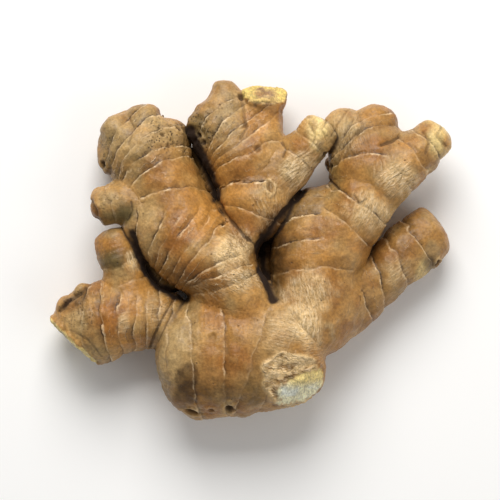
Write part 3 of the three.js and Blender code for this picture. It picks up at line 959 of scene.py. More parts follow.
@dataclass
class LobeForm:
    """One lobe worked out as a chain of ellipsoids, or beads, along its smoothed spine.

    Attributes:
        lobe: The lobe as drawn.
        bead_gap: How far apart the beads are.
        reach: How far from the skin the distances are worked out; further away they are all this.
    """

    lobe: Lobe
    bead_gap: float = 1.6
    reach: float = 8.0
    centres: np.ndarray = field(init=False)
    halves: np.ndarray = field(init=False)
    tangents: np.ndarray = field(init=False)
    places: np.ndarray = field(init=False)
    length: float = field(init=False)

    def __post_init__(self) -> None:
        """Smooths the spine and lays the beads along it."""
        stations = np.array(self.lobe.spine, float)
        drawn = np.column_stack((stations[:, :2], stations[:, 2] + stations[:, 4], stations[:, 3:5]))
        fine = self._smoothed(drawn, 40)
        travelled = np.concatenate(([0.0], np.cumsum(np.linalg.norm(np.diff(fine[:, :3], axis=0), axis=1))))
        self.length = travelled[-1]
        first = self.lobe.ends[0] * drawn[0, 3]
        last = self.length - self.lobe.ends[1] * drawn[-1, 3]
        count = max(2, math.ceil((last - first) / self.bead_gap) + 1)
        self.places = np.linspace(first, last, count)
        beads = self._at(self.places, travelled, fine)
        ahead = self._at(np.minimum(self.places + 0.5, self.length), travelled, fine)
        behind = self._at(np.maximum(self.places - 0.5, 0.0), travelled, fine)
        self.centres = beads[:, :3]
        self.tangents = ahead[:, :3] - behind[:, :3]
        self.tangents /= np.linalg.norm(self.tangents, axis=1, keepdims=True)
        caps = np.linspace(first, self.length - last, count)
        self.halves = np.column_stack((beads[:, 3:5], caps))
        self._fine = fine
        self._travelled = travelled

    @staticmethod
    def _smoothed(stations: np.ndarray, steps: int) -> np.ndarray:
        """A smooth curve through the stations.

        Args:
            stations: One row for each station.
            steps: How many points to lay from each station to the next.

        Returns:
            The curve's points, one row each.
        """
        padded = np.vstack((2 * stations[0] - stations[1], stations, 2 * stations[-1] - stations[-2]))
        share = np.linspace(0.0, 1.0, steps, endpoint=False)[:, None]
        pieces = []
        for a, b, c, d in zip(padded, padded[1:], padded[2:], padded[3:]):
            curve = 2 * b + (c - a) * share + (2 * a - 5 * b + 4 * c - d) * share**2
            pieces.append(0.5 * (curve + (3 * b - a - 3 * c + d) * share**3))
        return np.vstack((*pieces, stations[-1]))

    @staticmethod
    def _at(places: np.ndarray, travelled: np.ndarray, fine: np.ndarray) -> np.ndarray:
        """The rows of a curve at some distances along it."""
        return np.column_stack([np.interp(places, travelled, column) for column in fine.T])

    def wrap(self, ball: Points) -> Points:
        """Draws a ball of radius 1 out along the spine, so that it becomes the lobe.

        Args:
            ball: Points on the ball, whose poles are on its Z axis.

        Returns:
            The same points on the lobe's skin.
        """
        along = (1.0 - ball[:, 2]) / 2.0 * self.length
        row = self._at(along, self._travelled, self._fine)
        step = self._at(np.minimum(along + 0.4, self.length), self._travelled, self._fine)
        step -= self._at(np.maximum(along - 0.4, 0.0), self._travelled, self._fine)
        tangent = step[:, :3] / np.linalg.norm(step[:, :3], axis=1, keepdims=True)
        side, up = self._frames(tangent)
        from_end = np.minimum(along / self.places[0], (self.length - along) / (self.length - self.places[-1]))
        rounded = np.sqrt(np.clip(1.0 - (1.0 - np.clip(from_end, 0.0, 1.0)) ** 2, 0.0, 1.0))
        angle = np.arctan2(ball[:, 1], ball[:, 0])
        out = side * (np.cos(angle) * row[:, 3] * rounded)[:, None]
        return row[:, :3] + out + up * (np.sin(angle) * row[:, 4] * rounded)[:, None]

    @staticmethod
    def _frames(tangent: np.ndarray) -> tuple[np.ndarray, np.ndarray]:
        """The directions to the left of and above each tangent."""
        side = np.column_stack((-tangent[:, 1], tangent[:, 0], np.zeros(len(tangent))))
        side /= np.linalg.norm(side, axis=1, keepdims=True)
        return side, np.cross(tangent, side)

    def course(self, points: Points) -> Course:
        """Works out where points lie along the lobe.

        Args:
            points: The points, one row each.

        Returns:
            Their course; points out of reach keep the greatest distance and noughts.
        """
        count = len(points)
        nothing = [np.zeros(count) for _ in range(4)]
        course = Course(np.full(count, self.reach), *nothing, np.full(count, self.reach))
        low = (self.centres - self.halves.max()).min(axis=0) - self.reach
        high = (self.centres + self.halves.max()).max(axis=0) + self.reach
        near = np.nonzero(np.all((points > low) & (points < high), axis=1))[0]
        if not len(near):
            return course
        here = points[near]
        best = np.full(len(near), self.reach)
        which = np.zeros(len(near), int)
        sides, ups = self._frames(self.tangents)
        for index, centre in enumerate(self.centres):
            away = here - centre
            parts = [away @ axis[index] for axis in (sides, ups, self.tangents)]
            ratio = np.sqrt(sum((part / half) ** 2 for part, half in zip(parts, self.halves[index])))
            ratio = np.maximum(ratio, 0.02)
            distance = np.linalg.norm(away, axis=1) * (1.0 - 1.0 / ratio)
            closer = distance < best
            best[closer] = distance[closer]
            which[closer] = index
        away = here - self.centres[which]
        side = np.einsum("ij,ij->i", away, sides[which])
        up = np.einsum("ij,ij->i", away, ups[which])
        course.distance[near] = best
        course.along[near] = self.places[which] + np.einsum("ij,ij->i", away, self.tangents[which])
        course.side[near] = side
        course.width[near] = self.halves[which, 0]
        course.turn[near] = np.arctan2(up / self.halves[which, 1], side / self.halves[which, 0])
        course.depth = course.distance.copy()
        if self.lobe.cut:
            course.distance = np.maximum(course.distance, self.lobe.cut.beyond(points))
        return course


# ----------------------------------------------------------------------------------------------------
# Small helpers for Blender's own steps.
# ----------------------------------------------------------------------------------------------------


def only(piece: bpy.types.Object) -> None:
    """Selects one object and nothing else.

    Args:
        piece: The object.
    """
    bpy.ops.object.select_all(action="DESELECT")
    piece.select_set(True)
    bpy.context.view_layer.objects.active = piece


def points_of(piece: bpy.types.Object) -> Points:
    """The places of a mesh's vertices, one row each."""
    flat = np.empty(len(piece.data.vertices) * 3)
    piece.data.vertices.foreach_get("co", flat)
    return flat.reshape(-1, 3)


def move_points(piece: bpy.types.Object, points: Points) -> None:
    """Puts a mesh's vertices in new places."""
    piece.data.vertices.foreach_set("co", points.ravel())
    piece.data.update()


def normals_of(piece: bpy.types.Object) -> Points:
    """The directions that a mesh's vertices face, one row each."""
    flat = np.empty(len(piece.data.vertices) * 3)
    piece.data.vertex_normals.foreach_get("vector", flat)
    return flat.reshape(-1, 3)


def edges_of(piece: bpy.types.Object) -> np.ndarray:
    """The pairs of vertices that a mesh's edges join, one row each."""
    flat = np.empty(len(piece.data.edges) * 2, dtype=np.int32)
    piece.data.edges.foreach_get("vertices", flat)
    return flat.reshape(-1, 2)


def smoothed(points: Points, edges: np.ndarray, strength: np.ndarray | float, passes: int) -> Points:
    """Moves each point towards the middle of its neighbours.

    Args:
        points: The points, or any values of theirs, one row each.
        edges: The pairs that are neighbours.
        strength: How far each point goes, from 0 to 1.
        passes: How often.

    Returns:
        The moved points.
    """
    share = np.broadcast_to(np.asarray(strength, float).reshape(-1, 1), (len(points), 1))
    ends = edges.ravel()
    others = edges[:, ::-1].ravel()
    counts = np.maximum(np.bincount(ends, minlength=len(points)), 1)[:, None]
    for _ in range(passes):
        sums = [np.bincount(ends, column[others], len(points)) for column in points.T]
        points = points + share * (np.column_stack(sums) / counts - points)
    return points


def apply_modifier(piece: bpy.types.Object, kind: str, **settings: object) -> None:
    """Adds a modifier with its settings and applies it.

    Args:
        piece: The object.
        kind: Blender's name for the modifier.
        **settings: Its settings.
    """
    only(piece)
    modifier = piece.modifiers.new(kind.title(), kind)
    for name, value in settings.items():
        setattr(modifier, name, value)
    bpy.ops.object.modifier_apply(modifier=modifier.name)


# ----------------------------------------------------------------------------------------------------
# The root's body.
# ----------------------------------------------------------------------------------------------------


@dataclass
class RootBody:
    """The rhizome as one closed skin.

    Attributes:
        lobes: What it is made of.
        crease: How far apart the lobes of two fingers start to run into each other.
        voxel: The size of the facets it is fused at.
        pressed: How far the lowest bulges are pressed flat where it rests.
        most_triangles: How many triangles its finished mesh may have.
    """

    lobes: tuple[Lobe, ...] = LOBES
    crease: float = 0.8
    voxel: float = 0.62
    pressed: float = 0.4
    most_triangles: int = 190_000
    piece: bpy.types.Object = field(init=False)
    forms: list[LobeForm] = field(init=False)

    def build(self) -> bpy.types.Object:
        """Models the root and fits it to the frame's box.

        Returns:
            The finished piece.
        """
        self.forms = [LobeForm(lobe) for lobe in self.lobes]
        self._fuse()
        self._settle()
        self._fit_box()
        self._carve()
        self._finish()
        return self.piece

    def _shape_lobe(self, form: LobeForm) -> bpy.types.Object:
        """Shapes one lobe from a sphere and breaks it off flat where it has a cut."""
        bpy.ops.mesh.primitive_uv_sphere_add(segments=56, ring_count=72, radius=1.0)
        ball = bpy.context.object
        move_points(ball, form.wrap(points_of(ball)))
        if form.lobe.cut:
            bpy.ops.object.mode_set(mode="EDIT")
            bpy.ops.mesh.select_all(action="SELECT")
            bpy.ops.mesh.bisect(
                plane_co=form.lobe.cut.at, plane_no=form.lobe.cut.facing, clear_outer=True, use_fill=True
            )
            bpy.ops.object.mode_set(mode="OBJECT")
        return ball

    def _fuse(self) -> None:
        """Joins the lobes into one closed skin of even facets."""
        shapes = [self._shape_lobe(form) for form in self.forms]
        bpy.ops.object.select_all(action="DESELECT")
        for shape in shapes:
            shape.select_set(True)
        bpy.context.view_layer.objects.active = shapes[0]
        bpy.ops.object.join()
        self.piece = bpy.context.object
        self.piece.name = "ginger_rhizome"
        self.piece.data.name = "ginger_rhizome"
        bpy.ops.object.transform_apply(location=True, rotation=True, scale=True)
        apply_modifier(self.piece, "REMESH", mode="VOXEL", voxel_size=self.voxel, adaptivity=0.0)
        LOG.info("fused %d lobes into %d vertices", len(shapes), len(self.piece.data.vertices))

    def read(self, points: Points) -> list[Course]:
        """Where points lie along every lobe."""
        return [form.course(points) for form in self.forms]

    def _distance(self, points: Points, courses: list[Course]) -> np.ndarray:
        """The distance to the whole root's skin, with its lobes blended as they grow."""
        crease = np.full(len(points), self.crease)
        for web in WEBS:
            away = np.linalg.norm(points - np.array(web.at), axis=1)
            crease += web.blend * soft_step(away, web.reach * 1.5, web.reach * 0.5)
        fingers: dict[str, np.ndarray] = {}
        for lobe, course in zip(self.lobes, courses):
            known = fingers.get(lobe.finger)
            own = course.distance
            fingers[lobe.finger] = own if known is None else self._blended(known, own, lobe.melt)
        total = None
        for distance in fingers.values():
            total = distance if total is None else self._blended(total, distance, crease)
        return total

    @staticmethod
    def _blended(a: np.ndarray, b: np.ndarray, reach: np.ndarray | float) -> np.ndarray:
        """The smaller of two distances, smoothed where they are within a reach of each other."""
        nearness = np.clip(reach - np.abs(a - b), 0.0, None) / reach
        return np.minimum(a, b) - nearness * nearness * reach / 4.0

    def _settle(self) -> None:
        """Moves the skin to where the blended lobes put it, and evens its facets."""
        edges = edges_of(self.piece)
        for _ in range(4):
            points = smoothed(points_of(self.piece), edges, 0.5, 2)
            move_points(self.piece, points)
            step = np.clip(self._distance(points, self.read(points)), -1.5, 1.5)
            move_points(self.piece, points - normals_of(self.piece) * step[:, None])

    def _fit_box(self) -> None:
        """Notes how the drawing lies in the frame's box, with its underside pressed flat."""
        points = points_of(self.piece)
        low, high = points.min(axis=0), points.max(axis=0)
        low[2] += self.pressed
        box_low, box_high = (np.array(corner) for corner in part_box(NODE))
        self.scale = (box_high - box_low) / (high - low)
        self.shift = box_low - low * self.scale
        self.floor = low[2]

    def _carve(self) -> None:
        """Carves the skin's relief and stores what its finish needs to know."""
        points = points_of(self.piece)
        normals = normals_of(self.piece)
        relief = Relief(self, points, normals)
        points = points + normals * relief.height[:, None]
        points[:, 2] = np.maximum(points[:, 2], self.floor)
        move_points(self.piece, points)
        relief.store(self.piece)

    def _finish(self) -> None:
        """Thins the mesh where it is plain, and puts it in the frame."""
        triangles = 2 * len(self.piece.data.polygons)
        if triangles > self.most_triangles:
            apply_modifier(self.piece, "DECIMATE", ratio=self.most_triangles / triangles)
        points = points_of(self.piece) * self.scale + self.shift
        points[:, 2] = np.maximum(points[:, 2], 0.0)
        move_points(self.piece, points)
        only(self.piece)
        bpy.ops.object.shade_smooth()
        LOG.info("finished the skin with %d triangles", len(self.piece.data.polygons))


@dataclass
class Relief:
    """How the skin stands out from the smooth lobes, and the patterns that go with it.

    Attributes:
        body: The root.
        points: Its smooth skin.
        normals: The way that skin faces.
    """

    body: RootBody
    points: Points
    normals: Points
    height: np.ndarray = field(init=False)
    tint: np.ndarray = field(init=False)
    values: dict[str, np.ndarray] = field(init=False)

    def __post_init__(self) -> None:
        """Works out the relief from the big shapes to the small."""
        count = len(self.points)
        self.height = np.zeros(count)
        marks = ("force", "dark", "crack_dark_and_crevice_shade", "crinkle", "specks", "flesh")
        self.values = {name: np.zeros(count) for name in marks}
        self.values["ring_gap"] = np.full(count, 9.0)
        self.values["seam_gap"] = np.full(count, 9.0)
        self.upper = soft_step(self.normals[:, 2], -0.45, 0.15)
        courses = self.body.read(self.points)
        distances = np.array([course.distance for course in courses])
        self.main = distances.argmin(axis=0)
        self._rings(distances)
        # The crease closeness is the mask of the painted shade in the crevices between fingers.
        self.values["crease"] = self._crease_shade_mask(distances)
        self._paint()
        self._seams()
        self._hollows()
        for index, (lobe, course) in enumerate(zip(self.body.lobes, courses)):
            if lobe.cut:
                self._break(lobe.cut, course, self.main == index)
        self._lumps()

    def _rings(self, distances: np.ndarray) -> None:
        """Lays every growth's leaf scars over its lobes.

        Args:
            distances: From each lobe to each point.
        """
        names = [lobe.name for lobe in self.body.lobes]
        spines = {lobe.name: lobe.spine for lobe in self.body.lobes}
        rows = [[names.index(name) for name in growth.lobes] for growth in GROWTHS]
        near = np.array([distances[row].min(axis=0) for row in rows])
        ordered = np.sort(near, axis=0)
        own = soft_step(ordered[1] - ordered[0], 0.0, 1.6)
        weights = np.exp(-(near - ordered[0]) / 0.9)
        weights /= weights.sum(axis=0)
        main = near.argmin(axis=0)
        wander = noise(self.points, 6.0, 3, 2) * 0.8 + noise(self.points, 1.3, 5) * 0.16
        ragged = np.clip(0.8 + 0.8 * noise(self.points, 7.0, 9, 2), 0.1, 1.4)
        self.grain = np.zeros((len(self.points), 3))
        self.shade = np.zeros(len(self.points))
        for index, growth in enumerate(GROWTHS):
            mine = np.nonzero(weights[index] > 0.02)[0]
            if not len(mine):
                continue
            axis = LobeForm(Lobe(growth.lobes[0], "", growth.spine or spines[growth.lobes[0]]), reach=30.0)
            course = axis.course(self.points[mine])
            part = self._ring_relief(growth.rings, course, wander[mine], ragged[mine], index)
            self.height[mine] += weights[index][mine] * part[0]
            first = main[mine] == index
            self.values["ring_gap"][mine[first]] = part[1][first]
            self.values["force"][mine[first]] = (part[2] * own[mine])[first]
            self.shade[mine] += weights[index][mine] * part[3]
            self.grain[mine[first], 0] = course.along[first]
            self.grain[mine[first], 1] = (course.turn * course.width)[first]
            self.grain[mine[first], 2] = index * 40.0
        self.values["own"] = own

    @staticmethod
    def _ring_relief(
        rings: tuple[Ring, ...], course: Course, wander: np.ndarray, ragged: np.ndarray, seed: int
    ) -> tuple[np.ndarray, np.ndarray, np.ndarray, np.ndarray]:
        """The relief of one growth's leaf scars.

        Args:
            rings: The scars, from the oldest to the youngest.
            course: Where points lie along the growth.
            wander: How far the scars wander at each of them.
            ragged: How strong the scars' edges are there.
            seed: Picks the shades of the stretches between the scars.

        Returns:
            The height, the distance ahead of the nearest scar, that scar's strength, and the stretch's shade.
        """
        height = np.zeros(len(wander))
        gap = np.full(len(wander), 9.0)
        force = np.zeros(len(wander))
        shades = lattice(np.array([[seed, number, 3] for number in range(len(rings) + 1)]), 77)
        shade = np.full(len(wander), shades[0])
        along = course.along + wander
        share = np.clip(course.side / np.maximum(course.width, 1.0), -1.0, 1.0)
        for ring, tone in zip(rings, shades[1:]):
            ahead = along - (ring.at - course.side * math.tan(math.radians(ring.tilt)) - ring.bow * share**2)
            edge = ring.strength * ragged
            ridge = 0.30 * np.exp(-((np.clip(-ahead, 0.0, None) / 1.1) ** 1.3)) * (ahead <= 0.0)
            groove = -0.30 * np.exp(-(ahead / 0.9)) * (ahead > 0.0)
            height += edge * (ridge + groove)
            closer = np.abs(ahead) < np.abs(gap)
            gap[closer] = ahead[closer]
            force[closer] = edge[closer]
            passed = soft_step(ahead, -0.5, 0.5)
            shade += passed * (tone - shade)
        height += 0.70 * (1.0 - np.exp(-np.abs(gap) / 3.2)) - 0.45
        return height, gap, force, shade

    def _crease_shade_mask(self, distances: np.ndarray) -> np.ndarray:
        """How close each point is to the skin of another finger, from 0 to 1 where they meet; the finish
        darkens the skin by it as painted shade in the crevices.

        Args:
            distances: From each lobe to each point.

        Returns:
            The closeness; there is none where fingers have grown together.
        """
        fingers = np.array([lobe.finger for lobe in self.body.lobes])
        own = fingers[self.main]
        other = np.full(len(self.points), 8.0)
        for finger in dict.fromkeys(fingers):
            nearest = distances[fingers == finger].min(axis=0)
            other = np.where(own == finger, other, np.minimum(other, nearest))
        closeness = np.exp(-np.clip(other, 0.0, None) / 1.6)
        for web in WEBS:
            away = np.linalg.norm(self.points - np.array(web.at), axis=1)
            closeness *= 1.0 - web.calm * soft_step(away, web.reach * 1.5, web.reach * 0.6)
        return closeness

    def _paint(self) -> None:
        """Paints the skin with its patches, some of which are painted shade or painted highlight; the
        underside has patches of its own.
        """
        broad = noise(self.points, 19.0, 41, 2)
        patchy = noise(self.points, 8.0, 43, 3)
        tint = np.tile(Tone.HONEY.value, (len(self.points), 1))
        tint = self._laid(tint, Tone.TAN, 0.8 * soft_step(broad, -0.3, 0.5))
        tint = self._laid(tint, Tone.SAND, 0.6 * soft_step(patchy, 0.1, 0.9))
        tint = self._laid(tint, Tone.RUSSET, 0.6 * soft_step(patchy, -0.1, -0.9))
        edge = 1.0 + 0.35 * noise(self.points, 5.0, 45, 3)
        mottle = np.clip(0.92 + 0.35 * noise(self.points, 3.0, 47, 3), 0.0, 1.0)
        for patch in PATCHES:
            angle = math.radians(patch.turn)
            across = self.points[:, 0] - patch.x
            up = self.points[:, 1] - patch.y
            u = (across * math.cos(angle) + up * math.sin(angle)) / patch.wide
            v = (up * math.cos(angle) - across * math.sin(angle)) / patch.tall
            outer = 1.35 - 0.3 * patch.crisp
            inner = outer - 1.0 + 0.75 * patch.crisp
            cover = soft_step(np.hypot(u, v) * edge, outer, inner) * self.upper * mottle
            tint = self._laid(tint, patch.tone, patch.strength * cover)
            for name, much in (("crinkle", patch.crinkle), ("specks", patch.specks)):
                self.values[name] = np.maximum(self.values[name], much * cover)
        self.tint = tint * (1.0 + 0.13 * self.shade)[:, None]

    @staticmethod
    def _laid(tint: np.ndarray, tone: Tone | Colour, cover: np.ndarray) -> np.ndarray:
        """Lays one colour over the others as thickly as the cover says."""
        colour = np.array(tone.value if isinstance(tone, Tone) else tone)
        return tint + cover[:, None] * (colour - tint)

    def _seams(self) -> None:
        """Cuts the cracks and folds, and the crevice lines whose darkness is painted shade."""
        wander = 0.45 * noise(self.points, 3.0, 51, 2)
        for seam in SEAMS:
            gap, side, rest = self._beside(seam.path)
            gap = np.abs(gap + wander * min(seam.wide, 1.0))
            fade = self.upper * soft_step(rest, 2.0, 0.0)
            self.height -= fade * seam.deep * np.exp(-((gap / seam.wide) ** 2))
            self.height += fade * seam.lip * np.exp(-gap / 1.8) * soft_step(side, 0.0, 0.8)
            gap = gap / seam.wide
            closer = gap < self.values["seam_gap"]
            self.values["seam_gap"][closer] = gap[closer]
            self.values["crack_dark_and_crevice_shade"][closer] = (seam.dark * fade)[closer]

    def _beside(self, path: tuple[tuple[float, float], ...]) -> tuple[np.ndarray, np.ndarray, np.ndarray]:
        """How points lie beside a path, seen from above.

        Args:
            path: The path's points.

        Returns:
            The distance to the path, the distance to its left, and how far beyond its ends each point is.
        """
        nodes = np.array(path, float)
        flat = self.points[:, :2]
        best = np.full(len(flat), 99.0)
        side = np.zeros(len(flat))
        rest = np.zeros(len(flat))
        for index, (start, end) in enumerate(zip(nodes, nodes[1:])):
            length = np.linalg.norm(end - start)
            way = (end - start) / length
            along = (flat - start) @ way
            held = np.clip(along, 0.0, length)
            away = flat - start - held[:, None] * way
            gap = np.linalg.norm(away, axis=1)
            left = away @ np.array([-way[1], way[0]])
            beyond = np.abs(along - held)
            closer = gap < best
            best[closer] = gap[closer]
            side[closer] = left[closer]
            open_end = (index == 0) & (along < 0.0) | (index == len(nodes) - 2) & (along > length)
            rest[closer] = (beyond * open_end)[closer]
        return best, side, rest

    def _hollows(self) -> None:
        """Sinks the bud scars and the small craters."""
        edge = 1.0 + 0.22 * noise(self.points, 1.4, 61, 2)
        for hollow in HOLLOWS:
            off = np.hypot(self.points[:, 0] - hollow.x, self.points[:, 1] - hollow.y)
            spot = np.argmax(np.where(off < 4.0, self.points[:, 2] - 4.0 * off, -99.0))
            facing = self.normals[spot]
            angle = math.radians(hollow.turn)
            across = np.array([math.cos(angle), math.sin(angle), 0.0])
            across -= facing * (across @ facing)
            across /= np.linalg.norm(across)
            away = self.points - self.points[spot]
            u = away @ across / hollow.wide
            v = away @ np.cross(facing, across) / hollow.tall
            near = np.abs(away @ facing) < 2.5 * max(hollow.wide, hollow.tall)
            ratio = np.where(near, np.hypot(u, v) * edge, 9.0)
            self.height -= hollow.deep * soft_step(ratio, 1.1, 0.3)
            self.height += hollow.rim * np.exp(-(((ratio - 1.3) / 0.35) ** 2))
            self.values["dark"] = np.maximum(self.values["dark"], hollow.dark * soft_step(ratio, 1.15, 0.6))
            # Painted highlight: the raised rim is lightened towards cream.
            lit = 0.5 * hollow.rim * np.exp(-(((ratio - 1.35) / 0.3) ** 2))
            self.tint = self._laid(self.tint, Tone.CREAM, np.clip(lit, 0.0, 0.6))

    def _break(self, cut: Cut, course: Course, mine: np.ndarray) -> None:
        """Gives a break its bare fibrous flesh and its collar of torn skin.

        Args:
            cut: The break.
            course: Where points lie along its lobe.
            mine: Which points belong to the lobe.
        """
        beyond = cut.beyond(self.points)
        near = mine & (course.distance < 1.5)
        flesh = soft_step(beyond + 0.35 * noise(self.points, 1.6, 71, 2), -1.0, -0.45) * near
        away = np.hypot(self.points[:, 0] - cut.torn_at[0], self.points[:, 1] - cut.torn_at[1])
        away += 1.3 * noise(self.points, 5.0, 73, 3)
        skin = soft_step(away, cut.torn + 0.4, cut.torn - 0.4) * near * (1.0 - flesh)
        folds = noise(self.points + np.outer(beyond * 2.2, cut.normal()), 4.0, 75, 3)
        self.height += skin * (0.45 * folds - 0.2)
        lip = np.exp(-(((beyond + 1.1) / 0.7) ** 2)) * near
        self.height += lip * (0.45 + 0.7 * noise(self.points, 2.2, 77, 2))
        edge = np.exp(-(((away - cut.torn) / 0.9) ** 2)) * near * (1.0 - flesh) * (cut.torn > 0.0)
        self.height += 0.55 * edge
        strands = noise(self.points * np.array([1.0, 1.0, 0.5]), 1.5, 79, 3)
        self.height += flesh * (0.28 * strands + 0.35 * noise(self.points, 5.0, 81, 2))
        self.tint = self._laid(self.tint, Tone.TAN, 0.8 * skin)
        # Painted shade in the hollows of the torn skin's folds, and a paler colour on their ridges that is
        # partly painted highlight.
        self.tint = self._laid(self.tint, Tone.UMBER, 0.3 * skin * soft_step(folds, -0.25, -0.7))
        self.tint = self._laid(self.tint, Tone.CREAM, 0.9 * skin * soft_step(folds, -0.15, 0.3))
        self.tint = self._laid(self.tint, Tone.CREAM, 0.7 * edge)
        # Painted shade: a dark groove between the torn skin and the bare flesh.
        shaded_tear = np.exp(-(((beyond + 1.7) / 0.55) ** 2)) * near * (cut.torn > 0.0)
        self.height -= 0.35 * shaded_tear
        self.tint = self._laid(self.tint, Tone.UMBER, 0.65 * shaded_tear * soft_step(folds, 0.3, -0.3))
        dried = soft_step(noise(self.points, 3.5, 83, 3), -0.3, 0.6)
        bare = self._laid(np.tile(cut.flesh, (len(beyond), 1)), cut.cool, dried)
        rim = soft_step(course.depth + noise(self.points, 2.5, 85, 2), -5.0, -1.5)
        bare = self._laid(bare, cut.warm, rim * soft_step(self.points[:, 1], *cut.warm_from))
        self.tint += flesh[:, None] * (bare - self.tint)
        self.values["flesh"] = np.maximum(self.values["flesh"], flesh)
        self.values["crinkle"] = np.maximum(self.values["crinkle"], skin * 0.8)
        self.values["force"] *= 1.0 - np.maximum(flesh, skin)
        self.values["specks"] *= 1.0 - flesh

    def _lumps(self) -> None:
        """Adds the uneven growth of the whole root."""
        self.height += 0.60 * noise(self.points, 16.0, 21, 2)
        self.height += 0.45 * (0.4 - np.abs(noise(self.points, 9.0, 23, 2)))
        self.height += 0.26 * noise(self.points, 4.5, 31, 2)
        self.height += 0.10 * noise(self.points, 1.7, 33, 2) * (1.0 + self.values["crinkle"])
        rough = self.values["specks"]
        self.height += rough * 0.65 * noise(self.points, 2.4, 35, 2)

    def store(self, piece: bpy.types.Object) -> None:
        """Stores the patterns as attributes of the mesh.

        Args:
            piece: The piece whose vertices are the points.
        """
        for name, value in self.values.items():
            layer = piece.data.attributes.new(name, "FLOAT", "POINT")
            layer.data.foreach_set("value", value.astype(np.float32))
        layer = piece.data.attributes.new("grain", "FLOAT_VECTOR", "POINT")
        layer.data.foreach_set("vector", self.grain.astype(np.float32).ravel())
        layer = piece.data.attributes.new("tint", "FLOAT_COLOR", "POINT")
        tint = np.column_stack((np.clip(self.tint, 0.0, 1.0), np.ones(len(self.tint))))
        layer.data.foreach_set("color", tint.astype(np.float32).ravel())


# ----------------------------------------------------------------------------------------------------
# Finishes.
# ----------------------------------------------------------------------------------------------------


@dataclass
class NodeBoard:
    """A node tree with short ways to lay its nodes."""

    tree: bpy.types.NodeTree

    def node(self, kind: str, settings: dict[str, object] | None = None, **inputs: object) -> bpy.types.Node:
        """Adds a node.

        Args:
            kind: Blender's type of node.
            settings: Its own settings.
            **inputs: What goes into its sockets, by name; a socket is linked and anything else is set.

        Returns:
            The node.
        """
        node = self.tree.nodes.new(kind)
        for name, value in (settings or {}).items():
            setattr(node, name, value)
        for name, value in inputs.items():
            self.feed(node.inputs[name.replace("_", " ")], value)
        return node

    def feed(self, socket: bpy.types.NodeSocket, value: object) -> None:
        """Links or sets one socket."""
        if isinstance(value, bpy.types.NodeSocket):
            self.tree.links.new(value, socket)
        elif isinstance(value, tuple) and len(value) == 3 and socket.type == "RGBA":
            socket.default_value = (*value, 1.0)
        else:
            socket.default_value = value

    def value(self, name: str) -> bpy.types.NodeSocket:
        """A number that is stored on the mesh."""
        return self.node("ShaderNodeAttribute", {"attribute_name": name}).outputs["Fac"]

    def vector(self, name: str) -> bpy.types.NodeSocket:
        """A vector that is stored on the mesh."""
        return self.node("ShaderNodeAttribute", {"attribute_name": name}).outputs["Vector"]

    def colour(self, name: str) -> bpy.types.NodeSocket:
        """A colour that is stored on the mesh."""
        return self.node("ShaderNodeAttribute", {"attribute_name": name}).outputs["Color"]

    def dimmed(self, colour: object, amount: object) -> bpy.types.NodeSocket:
        """A colour times a number."""
        node = self.node("ShaderNodeVectorMath", {"operation": "SCALE"})
        self.feed(node.inputs[0], colour)
        self.feed(node.inputs["Scale"], amount)
        return node.outputs[0]

    def math(self, operation: str, *values: object) -> bpy.types.NodeSocket:
        """A sum of one to three numbers."""
        node = self.node("ShaderNodeMath", {"operation": operation})
        for socket, value in zip(node.inputs, values):
            self.feed(socket, value)
        return node.outputs[0]

    def graded(
        self, value: object, low: float, high: float, start: float = 0.0, end: float = 1.0
    ) -> bpy.types.NodeSocket:
        """A smooth rise from start at low to end at high."""
        node = self.node(
            "ShaderNodeMapRange",
            {"interpolation_type": "SMOOTHSTEP"},
            Value=value,
            From_Min=low,
            From_Max=high,
            To_Min=start,
            To_Max=end,
        )
        return node.outputs["Result"]

    def mix(self, share: object, first: object, second: object, blend: str = "MIX") -> bpy.types.NodeSocket:
        """One colour laid over another."""
        node = self.node("ShaderNodeMix", {"data_type": "RGBA", "blend_type": blend})
        for socket, value in zip((node.inputs[0], node.inputs[6], node.inputs[7]), (share, first, second)):
            self.feed(socket, value)
        return node.outputs[2]

    def scaled(self, vector: object, scale: tuple[float, float, float]) -> bpy.types.NodeSocket:
        """A vector times a scale along each axis."""
        node = self.node("ShaderNodeVectorMath", {"operation": "MULTIPLY"})
        self.feed(node.inputs[0], vector)
        self.feed(node.inputs[1], scale)
        return node.outputs[0]

    def noise(
        self, vector: object, scale: float, detail: float = 2.0, roughness: float = 0.5
    ) -> bpy.types.NodeSocket:
        """Smooth random values from 0 to 1."""
        sockets = {"Vector": vector, "Scale": scale, "Detail": detail, "Roughness": roughness}
        return self.node("ShaderNodeTexNoise", None, **sockets).outputs[0]

    def cells(self, vector: object, scale: float, feature: str = "F1") -> bpy.types.NodeSocket:
        """The distance to the nearest of many scattered points, or to the border between them."""
        node = self.node("ShaderNodeTexVoronoi", {"feature": feature}, Vector=vector, Scale=scale)
        return node.outputs["Distance"]


